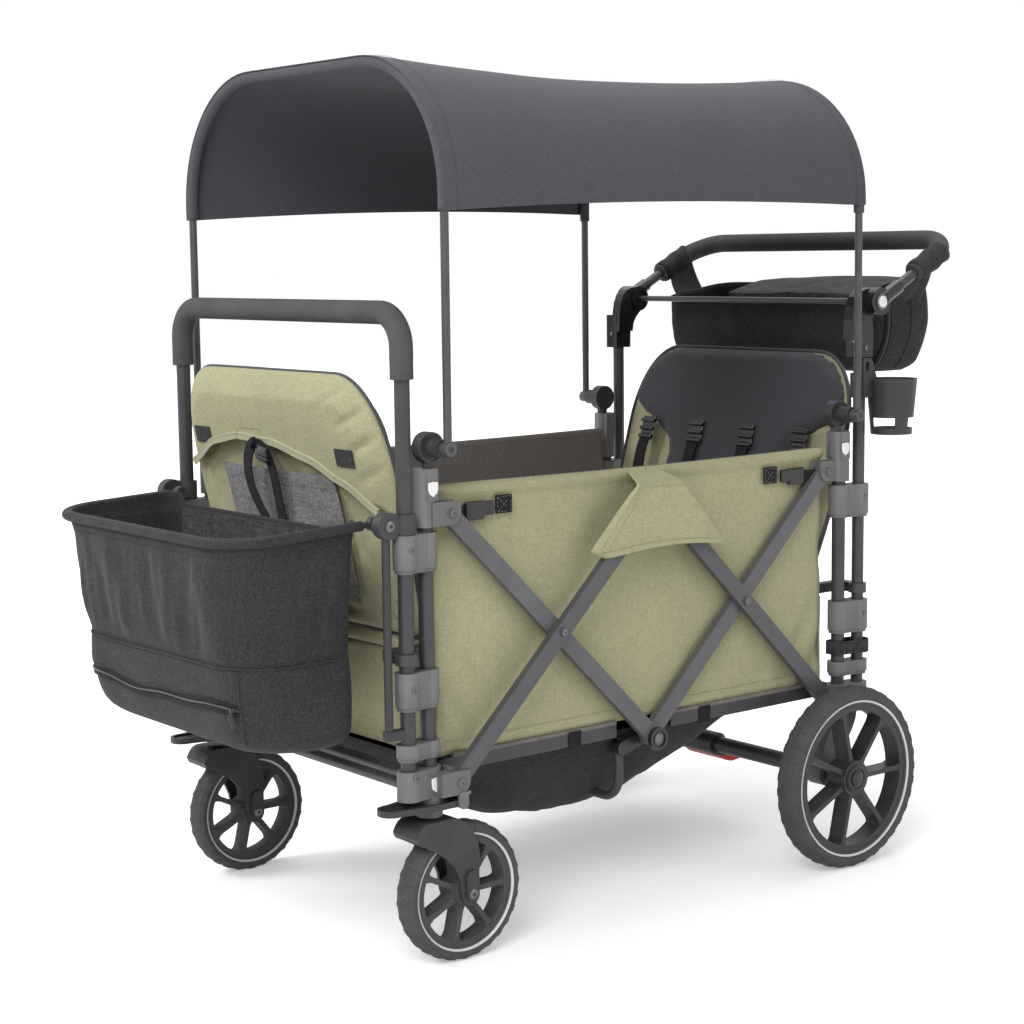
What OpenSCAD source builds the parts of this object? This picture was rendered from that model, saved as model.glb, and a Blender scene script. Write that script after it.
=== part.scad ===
// Stroller wagon: a folding scissor frame on two large rear wheels and two swivel casters,
// with a sewn tub, two seat backs, a canopy on two bows, a front basket and a push handle.
// Millimetres, +Z up, front of the wagon towards -Y, left side towards +X, floor at z = 0.

/* [Frame] */
// Gap from the tub's side to the side of the seat backs
tub_gap = 9; // [6:1:12]
// Step from the innermost arm plane out to a sliding post
post_step = 4; // [3:0.5:6]
// Step from a sliding post out to its handle tube
handle_step = 7; // [4:1:11]
// Distance from a corner pivot to its sliding post
post_lead = 33; // [31:1:35]
// Distance from a sliding post to its handle tube
handle_lead = 40; // [38:1:46]
// Diameter of the posts and of the front handle tube
tube_d = 22; // [20:1:23]
// Diameter of the rear uprights
upright_d = 20; // [18:1:21]
// Wall of every tube
tube_wall = 1.8; // [1.2:0.1:2.5]
// Height of the sleeves that join a post to its handle tube
sleeve_h = 54; // [46:1:60]
// Drop from an upper pivot to the middle of the upper sleeve
sleeve_drop = 52; // [48:1:56]
// Rise from a lower pivot to the middle of the lower sleeve
sleeve_rise = 138; // [132:1:144]

/* [Scissor] */
// Middle of the wagon to each corner pivot
pivot_y = 391; // [380:1:400]
// Rise from the top of a front wheel to the lower pivots
pivot_rise = 65; // [64:1:70]
// Height from the lower to the upper pivots
scissor_h = 384; // [376:1:392]
// Width of the arms
arm_w = 26; // [22:1:28]
// Thickness of the arms
arm_t = 12; // [10:0.5:13]
// Gap between neighbouring arms
arm_gap = 1; // [0.8:0.1:1.5]
// Diameter of the pivot pins
pin_d = 8; // [6:0.5:9]
// Height of the floor rails
rail_h = 20; // [16:1:20]

/* [Wheels] */
// Rear wheel diameter
rear_wheel_d = 300; // [280:2:320]
// Rear wheel width
rear_wheel_w = 44; // [38:1:48]
// Gap from a rear bracket to its wheel
wheel_gap = 17; // [14:1:22]
// Step from the rear pivots forward to the rear axle
axle_step = 2; // [0:1:6]
// Front wheel diameter
front_wheel_d = 203; // [190:1:216]
// Front wheel width
front_wheel_w = 40; // [34:1:44]
// Distance from the swivel stem back to the front axle
caster_trail = 50; // [44:1:54]
// Number of spokes in each wheel
spokes = 7; // [5:1:9]
// Thickness of each spoke
spoke_t = 8; // [6:0.5:11]
// Axle bolt diameter
axle_d = 12; // [10:0.5:14]

/* [Handles] */
// Height of the front handle's top bar
front_handle_z = 933; // [915:1:950]
// Bend radius of the front handle
front_bend_r = 48; // [42:1:60]
// Diameter of the foam grips
foam_d = 33; // [30:1:35]
// Length of foam down each leg of the front handle
foam_leg = 91; // [82:1:98]
// Step from the rear uprights back to the push handle's pivots
hub_step = 34; // [30:1:38]
// Height of the push handle's pivots
hub_z = 927; // [910:1:944]
// Radius of the push handle's pivot hubs
hub_r = 23; // [20:1:24]
// Length of the push handle from its pivots to the grip
push_length = 215; // [205:1:235]
// Rise of the push handle above level
push_angle = 28; // [24:1:32]
// Bend radius of the push handle
push_bend_r = 68; // [60:1:76]

/* [Canopy] */
// Step from a sliding post in to its bow hub
bow_step = 8; // [6:1:10]
// Step from a sliding post out to its bow rod
bow_out = 46; // [45:1:50]
// Bow rod diameter
bow_d = 12; // [10:0.5:13]
// Height of the bow tops
bow_top_z = 1284; // [1240:2:1320]
// Corner radius of the bows
bow_r = 190; // [160:2:205]
// Height of the canopy's sides, from the hem to the bow tops
canopy_side = 210; // [205:1:230]
// How far the cloth sags between the bows
canopy_sag = 16; // [6:1:22]

/* [Fabric] */
// Thickness of the sewn walls
wall = 4; // [3:0.5:5]
// Rise from the upper pivots to the tub's rim
rim_rise = 38; // [36:1:42]
// Rise from the lower pivots to the seat hinges
seat_rise = 184; // [178:1:190]
// Height of the seat backs above their hinges
seat_h = 405; // [380:1:420]
// Half width of the seat backs
seat_half_w = 268; // [240:1:300]
// Thickness of the seat backs
seat_t = 44; // [36:1:46]
// Lean of the front seat back
front_lean = 13; // [10:1:14]
// Lean of the rear seat back
rear_lean = 16; // [13:1:16]
// Depth of the front basket from its back panel to its front
basket_depth = 228; // [210:1:240]
// Height of the front basket
basket_h = 323; // [300:1:330]
// Gap from the handle tubes to the front basket's sides
basket_side_gap = 37; // [36:1:50]
// Droop of the front basket's rim towards the front, in degrees
basket_droop = 3; // [0:0.5:5]

/* [Fits] */
// Gap between glued or riveted pieces
seat_gap = 0.1; // [0.05:0.01:0.15]
// Gap round each sliding post
slide_gap = 0.4; // [0.3:0.05:0.5]
// Gap round each turning pin or axle
run_gap = 0.05; // [0.02:0.01:0.1]
// Gap between pieces that pass each other
pass_gap = 0.5; // [0.4:0.05:0.5]
// Gap between cloth and what carries it
cloth_gap = 0.3; // [0.25:0.05:0.4]

/* [Hidden] */
round_fn = 48;
fine_fn = 72;
clevis_t = 4;
clevis_h = 34;
// Across the wagon, from the seats outwards
tub_x = seat_half_w + tub_gap;
plane1 = tub_x + 2 * pass_gap + clevis_t + arm_t / 2;
plane_pitch = arm_t + arm_gap;
plane2 = plane1 + plane_pitch;
plane3 = plane2 + plane_pitch;
post_x = plane1 + post_step;
handle_x = post_x + handle_step;
bow_x = post_x + bow_out;
// Along the wagon, from the pivots outwards
post_y = pivot_y + post_lead;
handle_y = post_y + handle_lead;
bow_y = post_y - bow_step;
slot_end = pivot_y + arm_w / 2 + 2;
rear_axle_y = pivot_y - axle_step;
hub_y = handle_y + hub_step;
stem_y = -post_y;
front_axle_y = stem_y + caster_trail;
// Heights, from the wheels upwards
rear_axle_z = rear_wheel_d / 2;
front_axle_z = front_wheel_d / 2;
pivot_low_z = front_wheel_d + pivot_rise;
pivot_high_z = pivot_low_z + scissor_h;
mid_pivot_z = (pivot_low_z + pivot_high_z) / 2;
sleeve_low_z = pivot_low_z + sleeve_rise;
sleeve_high_z = pivot_high_z - sleeve_drop;
// Brackets
bracket_wall = 6;
sleeve_waist = 3;
sleeve_lip = 5;
lip_in = 2;
clip_h = 24;
clip_lift = 14;
bracket_d = tube_d + 2 * bracket_wall;
bracket_base = 4;
bracket_low = pivot_low_z - 18;
bracket_high = pivot_low_z + 25;
boss_low = bracket_low - 30;
boss_d = 38;
stem_d = 14;
post_foot = 12;
upper_low = pivot_high_z - 18;
upper_high = pivot_high_z + 19;
block_high = upper_high + 45;
block_t = 20;
block_plug = 26;
bow_hub_z = block_high + 29;
post_low = bracket_low + post_foot;
rivet_d = 14;
rivet_t = 3;
rear_wheel_x = post_x + bracket_d / 2 + wheel_gap + rear_wheel_w / 2;
axle_beam_d = 28;
web_half = 23.5;
cross_bar_d = 16;
cross_seat = 3;
// Wheels
tyre_h = 27;
rim_t = 11;
rear_hub_d = 58;
rear_cap_d = 46;
rear_rim = rear_wheel_d / 2 - tyre_h;
front_tyre_h = 20;
front_rim_t = 9;
front_hub_d = 40;
// Bow hubs
hub_disc_d = 44;
hub_disc_t = 18;
hub_groove = 2;
spool_d = 26;
bow_pin_d = 10;
bow_eye_d = 20;
bow_eye_t = 16;
stud_d = 12;
neck_d = 18;
// Floor
rail_w = 18;
rail_x = tub_x - 7;
rail_z = pivot_low_z + 15;
rail_end_gap = 57;
rail_length = pivot_y - rail_end_gap;
board_t = 5;
board_end_gap = 24;
floor_top = rail_z + rail_h / 2 + board_t;
foot_d = 14;
foot_wall = 2;
foot_bend = 36;
foot_drop = 96;
foot_step = 45;
foot_fall = 14;
centre_cap_d = 36;
centre_cap_t = 7;
lug_w = 22;
// Sling under the floor
sling_half = rail_x - rail_w / 2 - cloth_gap;
sling_front = pivot_y - 19;
sling_length = 500;
sling_deep = 96;
sling_t = 3;
// The cloth stands off its bow enough for its flat facets to clear it
cloth_lift = 1;
canopy_t = 2;
hem_z = bow_top_z - canopy_side;
// Tub
tub_y = pivot_y + 13;
tub_low = floor_top + pass_gap;
end_wall_h = 125.5;
rim_z = pivot_high_z + rim_rise;
rim_d = 18;
rim_x = tub_x + 2;
rim_end = 10;
// Flaps
flap_t = 3;
flap_half = 54;
flap_tail = 129;
flap_h = 122;
flap_clear = 2;
// Seats
seat_hinge_y = tub_y - 6;
seat_hinge_z = pivot_low_z + seat_rise;
seat_pin_d = 10;
seat_eye_d = 22;
seat_eye_in = 32;
seat_foot = 16;
rod_arm = 16;
rod_in = 16;
clamp_wall = 5;
// Front basket
basket_hub_y = handle_y + 30;
basket_hub_z = sleeve_high_z + 42;
basket_hub_r = 19;
basket_hub_t = 18;
basket_rod_d = 12;
basket_bow_d = 9;
basket_half_w = handle_x - basket_side_gap;
basket_back = basket_hub_y + 16;
basket_front = basket_back - 10 + basket_depth;
basket_rim_z = basket_hub_z + 6;
basket_floor_z = basket_rim_z - basket_h;
basket_low_in = 22;
basket_low_back = 52;
basket_corner_r = 76;
basket_stay_low = basket_hub_z - 302;
// Push handle hubs
housing_x0 = handle_x - 21;
housing_x1 = handle_x - 1;
housing_leg = 14;
housing_w = 17;
housing_ring = 3;
stretcher_d = 10;
hub_pin_d = 11;
push_tube_d = upright_d - 2;
knuckle_t = 18;
knuckle_d = 24;
knuckle_reach = 52;
knuckle_step = 0.7;
tube_seat = 28;
foam_start = 96;
arm_x = housing_x1 + pass_gap + knuckle_step + knuckle_d / 2;
button_d = 20;
button_h = 6;
button_out = 3;
// Console
strap_run = 104;
strap_w = 34;
strap_t = 2.5;
console_low = hub_z - 115;
console_h = 118;
console_front = hub_y + 58;
console_deep = 120;
console_half = arm_x - 65.2;
console_r = 30;
// Cup holder
cup_out = 24;
cup_back = 53;
cup_r = 42;
cup_taper = 8;
cup_wall = 2.8;
cup_rim_z = hub_z - 127;
cup_h = 92;
cup_floor = 36;
cup_ring = 10;
cup_legs = 3;
cup_leg_turn = 38;
cup_base_t = 8;
// Caster fork
cheek_t = 6;
cheek_x = front_wheel_w / 2 + 3;
well_gap = 5;
fork_top = boss_low - 3;
// Pedals
pedal_y = -(pivot_y - 4);
pedal_z = bracket_low - 13;
pedal_t = 9;
pedal_half = 29;
pedal_nose = 66;
pedal_r = 20;
pedal_pin_d = 6;
pedal_ear = 5;
brake_half = 45;
brake_shell = 6;
// The origin is under the middle of the whole wagon
grip_rear = hub_y + push_length * cos(push_angle) + foam_d / 2;
mid_y = (basket_front - grip_rear) / 2;
// Colours
tube_colour = [0.2, 0.2, 0.22];
plastic_colour = [0.12, 0.12, 0.13];
green = [0.48, 0.5, 0.33];
dark_cloth = [0.16, 0.16, 0.18];
black_cloth = [0.1, 0.1, 0.1];
rubber = [0.15, 0.15, 0.16];
red = [0.75, 0.12, 0.1];
white = [0.9, 0.9, 0.9];

// Shared helpers

module place() {
  translate([0, mid_y, 0]) children();
}

module both_sides() {
  children();
  mirror([1, 0, 0]) children();
}

// A hollow tube along Z
module pipe_z(d, z0, z1) {
  translate([0, 0, z0]) difference() {
    cylinder(d = d, h = z1 - z0, $fn = round_fn);
    translate([0, 0, -1]) cylinder(d = d - 2 * tube_wall, h = z1 - z0 + 2, $fn = round_fn);
  }
}

// A round bar along X
module bar_x(d, x0, x1) {
  translate([x0, 0, 0]) rotate([0, 90, 0]) cylinder(d = d, h = x1 - x0, $fn = round_fn);
}

// A bent quarter in the XZ plane, from the +X axis up to the +Z axis
module quarter(r, d, bore) {
  rotate([90, 0, 0]) rotate_extrude(angle = 90, $fn = fine_fn) translate([r, 0]) difference() {
    circle(d = d, $fn = round_fn);
    circle(d = bore, $fn = round_fn);
  }
}

// An inverted U in the XZ plane: legs from z0 up, bends of radius r, top bar at z1
module u_tube(half, z0, z1, r, d, bore) {
  both_sides() {
    translate([half, 0, z0]) difference() {
      cylinder(d = d, h = z1 - r - z0, $fn = round_fn);
      translate([0, 0, -1]) cylinder(d = bore, h = z1 - r - z0 + 2, $fn = round_fn);
    }
    translate([half - r, 0, z1 - r]) quarter(r, d, bore);
  }
  translate([-(half - r), 0, z1]) rotate([0, 90, 0]) difference() {
    cylinder(d = d, h = 2 * (half - r), $fn = round_fn);
    translate([0, 0, -1]) cylinder(d = bore, h = 2 * (half - r) + 2, $fn = round_fn);
  }
}

// A flat shape drawn in Y and Z, thick along X from x0 to x1
module side_plate(x0, x1) {
  translate([x0, 0, 0]) rotate([90, 0, 90]) linear_extrude(x1 - x0) children();
}

// A straight bar with round ends between two points in Y and Z
module bar_2d(a, b, w) {
  run = norm(b - a);
  translate(a) rotate(atan2(b[1] - a[1], b[0] - a[0])) {
    translate([0, -w / 2]) square([run, w]);
    circle(d = w, $fn = round_fn);
    translate([run, 0]) circle(d = w, $fn = round_fn);
  }
}

// Points along a smooth curve that leaves a towards b and reaches d from c
function curve(a, b, c, d, steps = 6) = [
  for (k = [0 : steps]) let (t = k / steps, s = 1 - t)
    s ^ 3 * a + 3 * s ^ 2 * t * b + 3 * s * t ^ 2 * c + t ^ 3 * d
];

// A closed skin between two equal grids of points
module slab(front, back) {
  rows = len(front);
  cols = len(front[0]);
  size = rows * cols;
  points = concat([for (r = front) for (p = r) p], [for (r = back) for (p = r) p]);
  faces = concat(
    [for (i = [0 : rows - 2]) for (j = [0 : cols - 2]) each [
      [i * cols + j, (i + 1) * cols + j, (i + 1) * cols + j + 1],
      [i * cols + j, (i + 1) * cols + j + 1, i * cols + j + 1]
    ]],
    [for (i = [0 : rows - 2]) for (j = [0 : cols - 2]) each [
      [size + i * cols + j, size + (i + 1) * cols + j + 1, size + (i + 1) * cols + j],
      [size + i * cols + j, size + i * cols + j + 1, size + (i + 1) * cols + j + 1]
    ]],
    [for (j = [0 : cols - 2]) each [
      [j, j + 1, size + j + 1],
      [j, size + j + 1, size + j]
    ]],
    [for (j = [0 : cols - 2], k = [(rows - 1) * cols]) each [
      [k + j, size + k + j, size + k + j + 1],
      [k + j, size + k + j + 1, k + j + 1]
    ]],
    [for (i = [0 : rows - 2]) each [
      [i * cols, size + i * cols, size + (i + 1) * cols],
      [i * cols, size + (i + 1) * cols, (i + 1) * cols]
    ]],
    [for (i = [0 : rows - 2], k = [cols - 1]) each [
      [i * cols + k, (i + 1) * cols + k, size + (i + 1) * cols + k],
      [i * cols + k, size + (i + 1) * cols + k, size + i * cols + k]
    ]]
  );
  polyhedron(points, faces, convexity = 8);
}

// A closed skin through a row of rings, capped at the first and the last
module ring_loft(rings) {
  n = len(rings[0]);
  last = (len(rings) - 1) * n;
  points = [for (r = rings) for (p = r) p];
  faces = concat(
    [[for (j = [0 : n - 1]) j]],
    [for (i = [0 : len(rings) - 2]) for (j = [0 : n - 1]) each [
      [i * n + j, (i + 1) * n + j, (i + 1) * n + (j + 1) % n],
      [i * n + j, (i + 1) * n + (j + 1) % n, i * n + (j + 1) % n]
    ]],
    [[for (j = [n - 1 : -1 : 0]) last + j]]
  );
  polyhedron(points, faces, convexity = 8);
}

// A rounded rectangle of points at height z, from x0..x1 and y0..y1
function rounded_ring(x0, x1, y0, y1, z, r, steps = 5) = [
  for (c = [[x1 - r, y1 - r, 0], [x0 + r, y1 - r, 90], [x0 + r, y0 + r, 180], [x1 - r, y0 + r, 270]])
    for (k = [0 : steps])
      [c[0] + r * cos(c[2] + 90 * k / steps), c[1] + r * sin(c[2] + 90 * k / steps), z]
];

// Frame

// A block round a post and its handle tube, narrower between them
module twin_block(y_sign, d, waist, z0, h) {
  turn = atan2(y_sign * handle_lead, handle_step);
  reach = norm([handle_step, handle_lead]);
  translate([handle_x, y_sign * handle_y, z0]) cylinder(d = d, h = h, $fn = round_fn);
  translate([post_x, y_sign * post_y, z0]) cylinder(d = d, h = h, $fn = round_fn);
  translate([post_x, y_sign * post_y, z0]) rotate(turn)
    translate([0, -d / 2 + waist, 0]) cube([reach, d - 2 * waist, h]);
}

// One sleeve with a lip below it: fast on the handle tube, free on the sliding post
module sleeve_body(y_sign, tube, z0, h) {
  difference() {
    union() {
      twin_block(y_sign, bracket_d, sleeve_waist, z0 + sleeve_lip, h - sleeve_lip);
      twin_block(y_sign, bracket_d - 2 * lip_in, sleeve_waist, z0, sleeve_lip + 1);
    }
    translate([handle_x, y_sign * handle_y, z0 - 1])
      cylinder(d = tube + 2 * seat_gap, h = h + 2, $fn = round_fn);
    translate([post_x, y_sign * post_y, z0 - 1])
      cylinder(d = tube_d + 2 * slide_gap, h = h + 2, $fn = round_fn);
  }
}

module sleeve_set(y_sign, tube) {
  both_sides() {
    sleeve_body(y_sign, tube, sleeve_high_z - sleeve_h / 2, sleeve_h);
    sleeve_body(y_sign, tube, sleeve_low_z - sleeve_h / 2, sleeve_h);
    sleeve_body(y_sign, tube, bracket_high + clip_lift, clip_h);
  }
}

// The outline of a clevis cheek: rounded at its lower inner corner
module cheek_2d(y_sign, z) {
  half = clevis_h / 2;
  outline = concat(
    [[post_y, z + half], [pivot_y - half, z + half]],
    curve([pivot_y - half, z + 2], [pivot_y - half, z - half + 7],
      [pivot_y - 7, z - half], [pivot_y + 2, z - half]),
    [[post_y, z - half]]
  );
  polygon([for (p = outline) [y_sign * p[0], p[1]]]);
}

// Two cheeks joined by a back, with a rivet head on the outer one
module clevis(y_sign, x, z) {
  inner = arm_t / 2 + pass_gap;
  deep = post_y - slot_end;
  translate([x - inner - 1, y_sign > 0 ? slot_end : -post_y, z - clevis_h / 2])
    cube([2 * inner + 2, deep, clevis_h]);
  for (side = [-1, 1])
    side_plate(side > 0 ? x + inner : x - inner - clevis_t, side > 0 ? x + inner + clevis_t : x - inner)
      cheek_2d(y_sign, z);
  translate([x + inner + clevis_t, y_sign * pivot_y, z]) bar_x(rivet_d, -1, rivet_t);
}

// Room for an arm end to turn in its clevis
module arm_slot(y_sign, x, z0, h) {
  translate([x - arm_t / 2 - pass_gap, min(0, y_sign * slot_end), z0])
    cube([arm_t + 2 * pass_gap, slot_end, h]);
}

module clevis_pin(y_sign, x, z) {
  inner = arm_t / 2 + pass_gap + clevis_t;
  translate([0, y_sign * pivot_y, z]) bar_x(pin_d, x - inner, x + inner);
}

// A shallow socket for the end of a cross bar
module cross_socket(x, y) {
  translate([0, y, (bracket_low + bracket_high) / 2])
    bar_x(cross_bar_d + 2 * seat_gap, 0, x - bracket_d / 2 + cross_seat + seat_gap);
}

// One bottom corner bracket: a rounded block on both tubes, with its arm clevis and floor hinge
module corner_bracket(y_sign, tube, x) {
  h = bracket_high - bracket_low;
  difference() {
    union() {
      twin_block(y_sign, bracket_d, 0.5, bracket_low, h);
      clevis(y_sign, x, pivot_low_z);
    }
    translate([handle_x, y_sign * handle_y, bracket_low + bracket_base])
      cylinder(d = tube + 2 * seat_gap, h = h, $fn = round_fn);
    translate([post_x, y_sign * post_y, post_low - 1])
      cylinder(d = tube_d + 2 * slide_gap, h = h, $fn = round_fn);
    arm_slot(y_sign, x, bracket_low - 1, h + 2);
    cross_socket(handle_x, y_sign * handle_y);
    if (y_sign < 0) cross_socket(post_x, -post_y);
  }
  clevis_pin(y_sign, x, pivot_low_z);
  translate([0, y_sign * pivot_y, rail_z])
    bar_x(pin_d, rail_x - rail_w / 2 - 2, x - arm_t / 2 - pass_gap - 1);
}

// One upper bracket: clamped on the sliding post, with an arm clevis and the hub block on top
module post_bracket(y_sign, x) {
  difference() {
    union() {
      translate([post_x, y_sign * post_y, upper_low])
        cylinder(d = bracket_d, h = block_high - upper_low, $fn = round_fn);
      translate([post_x - bracket_d / 2, y_sign * (bow_y + 6) - block_t / 2, upper_high])
        cube([bracket_d, block_t, block_high - upper_high]);
      clevis(y_sign, x, pivot_high_z);
    }
    translate([post_x, y_sign * post_y, upper_low - 1])
      cylinder(d = tube_d + 2 * seat_gap, h = block_high - block_plug - upper_low + 2, $fn = round_fn);
    arm_slot(y_sign, x, upper_low - 1, clevis_h + 3);
    translate([post_x, y_sign * bow_y, block_high - 14])
      cylinder(d = stud_d + 2 * seat_gap, h = 20, $fn = round_fn);
  }
  clevis_pin(y_sign, x, pivot_high_z);
}

module rear_uprights() color(tube_colour) place() both_sides()
  translate([handle_x, handle_y, 0]) pipe_z(upright_d, bracket_low + bracket_base, hub_z - 34);

module rear_sleeves() color(plastic_colour) place() sleeve_set(1, upright_d);

// The rear corners carry the axle beam on a tapered web
module rear_corner_brackets() color(plastic_colour) place() both_sides() {
  corner_bracket(1, upright_d, plane2);
  difference() {
    side_plate(post_x - bracket_d / 2 + 1, post_x + bracket_d / 2 - 1) {
      polygon(concat(
        curve([post_y - 26, bracket_low + 1], [post_y - 26, bracket_low - 30],
          [rear_axle_y - web_half, rear_axle_z + 40], [rear_axle_y - web_half, rear_axle_z]),
        curve([rear_axle_y + web_half, rear_axle_z], [rear_axle_y + web_half, rear_axle_z + 44],
          [handle_y - 8, bracket_low - 44], [handle_y - 8, bracket_low + 1])
      ));
      translate([rear_axle_y, rear_axle_z]) circle(r = web_half + 0.5, $fn = round_fn);
    }
    translate([0, rear_axle_y, rear_axle_z]) bar_x(axle_beam_d + 2 * seat_gap, 0, 2 * post_x);
  }
}

module rear_axle_beam() color(tube_colour) place() translate([0, rear_axle_y, rear_axle_z]) {
  beam = post_x + bracket_d / 2 + 4;
  reach = rear_wheel_x + rear_wheel_w / 2 - 5;
  bar_x(axle_beam_d, -beam, beam);
  bar_x(axle_d, -reach, reach);
}

// A bar across the wagon, seated in the corner brackets of two tubes
module cross_bar(x, y) {
  half = x - bracket_d / 2 + cross_seat;
  translate([0, y, (bracket_low + bracket_high) / 2]) bar_x(cross_bar_d, -half, half);
}

module rear_cross_bar() color(tube_colour) place() cross_bar(handle_x, handle_y);

module sliding_posts(y_sign) {
  both_sides() translate([post_x, y_sign * post_y, 0]) pipe_z(tube_d, post_low, block_high - block_plug);
}

module front_posts() color(tube_colour) place() sliding_posts(-1);

module rear_posts() color(tube_colour) place() sliding_posts(1);

module front_post_brackets() color(plastic_colour) place() both_sides() post_bracket(-1, plane2);

module rear_post_brackets() color(plastic_colour) place() both_sides() post_bracket(1, plane1);

// One plugged hub that a bow turns on: stud, neck, grooved disc, spool and pin
module bow_hub(y_sign) {
  face = post_x + hub_disc_t / 2;
  translate([post_x, y_sign * bow_y, block_high - 13]) cylinder(d = stud_d, h = 30, $fn = round_fn);
  translate([post_x, y_sign * bow_y, block_high + seat_gap]) cylinder(d = neck_d, h = 8, $fn = round_fn);
  translate([0, y_sign * bow_y, bow_hub_z]) {
    difference() {
      bar_x(hub_disc_d, post_x - hub_disc_t / 2, face);
      difference() {
        bar_x(hub_disc_d - 6, face - hub_groove, face + 1);
        bar_x(spool_d + 4, face - hub_groove - 1, face + 2);
      }
    }
    bar_x(spool_d, face - 1, bow_x - bow_eye_t / 2 - 1);
    bar_x(bow_pin_d, post_x, bow_x + bow_eye_t / 2);
  }
}

module front_bow_hubs() color(plastic_colour) place() both_sides() bow_hub(-1);

module rear_bow_hubs() color(plastic_colour) place() both_sides() bow_hub(1);

// Scissor arms

// One arm from the low point to the high point in a plane, with its pin holes
module arm(a, b, x, holes) {
  side_plate(x - arm_t / 2, x + arm_t / 2) difference() {
    bar_2d(a, b, arm_w);
    for (h = holes) translate(h) circle(d = pin_d + 2 * run_gap, $fn = round_fn);
  }
}

// A pin with a head on its outer end
module arm_pin(p, x0, x1) {
  translate([0, p[0], p[1]]) bar_x(pin_d, x0, x1 + 1);
  translate([0, p[0], p[1]]) bar_x(rivet_d, x1, x1 + rivet_t);
}

front_low = [-pivot_y, pivot_low_z];
front_high = [-pivot_y, pivot_high_z];
rear_low = [pivot_y, pivot_low_z];
rear_high = [pivot_y, pivot_high_z];
mid_low = [0, pivot_low_z];
mid_high = [0, pivot_high_z];
front_cross = [-pivot_y / 2, mid_pivot_z];
rear_cross = [pivot_y / 2, mid_pivot_z];

module rear_arms_low() color(tube_colour) place() both_sides() {
  arm(rear_low, mid_high, plane2, [rear_low]);
  arm_pin(rear_cross, plane1 - arm_t / 2, plane2 + arm_t / 2);
  arm_pin(mid_high, plane2 + arm_t / 2 - 1, plane3 + arm_t / 2 + pass_gap);
}

module rear_arms_high() color(tube_colour) place() both_sides()
  arm(mid_low, rear_high, plane1, [mid_low, rear_cross, rear_high]);

module front_arms_low() color(tube_colour) place() both_sides() {
  arm(front_low, mid_high, plane3, [front_low, mid_high]);
  arm_pin(front_cross, plane2 - arm_t / 2, plane3 + arm_t / 2);
}

module front_arms_high() color(tube_colour) place() both_sides()
  arm(mid_low, front_high, plane2, [mid_low, front_cross, front_high]);

// The hub pins at the bottom of the middle, with the lugs that carry the foot bar
module centre_hubs() color(plastic_colour) place() both_sides() {
  cap = plane2 + arm_t / 2 + pass_gap;
  lug = plane1 - arm_t / 2 - pass_gap;
  translate([0, 0, pivot_low_z]) {
    bar_x(pin_d, lug - 2, cap + 1);
    difference() {
      bar_x(centre_cap_d, cap, cap + centre_cap_t);
      bar_x(centre_cap_d - 10, cap + centre_cap_t - hub_groove, cap + centre_cap_t + 1);
    }
  }
  difference() {
    side_plate(rail_x - foot_d / 2 - 1, lug)
      bar_2d([0, pivot_low_z], [-foot_step, pivot_low_z - foot_fall], lug_w);
    translate([rail_x, -foot_step, pivot_low_z - 60])
      cylinder(d = foot_d + 2 * seat_gap, h = 60, $fn = round_fn);
  }
}

// The U-shaped foot bar that links both sides' hubs under the floor
module centre_foot_bar() color(tube_colour) place() translate([0, -foot_step, 2 * pivot_low_z - foot_drop])
  mirror([0, 0, 1])
    u_tube(rail_x, pivot_low_z - foot_drop + 8, pivot_low_z, foot_bend, foot_d, foot_d - 2 * foot_wall);

// Floor

// Two square rails and their hinge eyes
module floor_rails(y_sign) {
  both_sides() difference() {
    side_plate(rail_x - rail_w / 2, rail_x + rail_w / 2) {
      translate([y_sign > 0 ? pivot_y - rail_length : -pivot_y, rail_z - rail_h / 2])
        square([rail_length, rail_h]);
      translate([y_sign * pivot_y, rail_z]) circle(d = rail_h, $fn = round_fn);
    }
    translate([0, y_sign * pivot_y, rail_z]) bar_x(pin_d + 2 * run_gap, 0, 2 * rail_x);
  }
}

module floor_board(y_sign) {
  start = y_sign > 0 ? pivot_y - rail_length : -pivot_y + board_end_gap;
  translate([-rail_x - rail_w / 2, start, rail_z + rail_h / 2 + seat_gap])
    cube([2 * rail_x + rail_w, rail_length - board_end_gap, board_t - seat_gap]);
}

module rear_floor_rails() color(tube_colour) place() floor_rails(1);

module rear_floor_board() color(black_cloth) place() floor_board(1);

module front_floor_rails() color(tube_colour) place() floor_rails(-1);

module front_floor_board() color(black_cloth) place() floor_board(-1);

// Wheels

// Half the thickness of a spoke, which flares where it meets the hub and the rim
function spoke_half(r, r0, r1) =
  spoke_t / 2 * (1 + 1.4 * max(0, 1 - (r - r0) / 12) ^ 2 + 1.4 * max(0, 1 - (r1 - r) / 12) ^ 2);

// Hub, blade spokes and rim of one wheel, turning on X, its middle at x = 0
module wheel_body(w, rim_out, rim_in, hub_d, hub_w) {
  r0 = hub_d / 2 - 4;
  r1 = rim_in + 2;
  stops = [r0, r0 + 6, r0 + 12, r1 - 12, r1 - 6, r1];
  rotate([0, 90, 0]) rotate_extrude($fn = fine_fn) {
    translate([rim_in, -w * 0.36]) square([rim_out - rim_in, w * 0.72]);
    translate([axle_d / 2 + run_gap, -hub_w / 2]) square([(hub_d - axle_d) / 2 - run_gap, hub_w]);
  }
  for (k = [0 : spokes - 1]) rotate([k * 360 / spokes, 0, 0])
    side_plate(-w * 0.34, w * 0.34) polygon(concat(
      [for (r = stops) [r, spoke_half(r, r0, r1)]],
      [for (k = [len(stops) - 1 : -1 : 0]) [stops[k], -spoke_half(stops[k], r0, r1)]]
    ));
}

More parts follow.
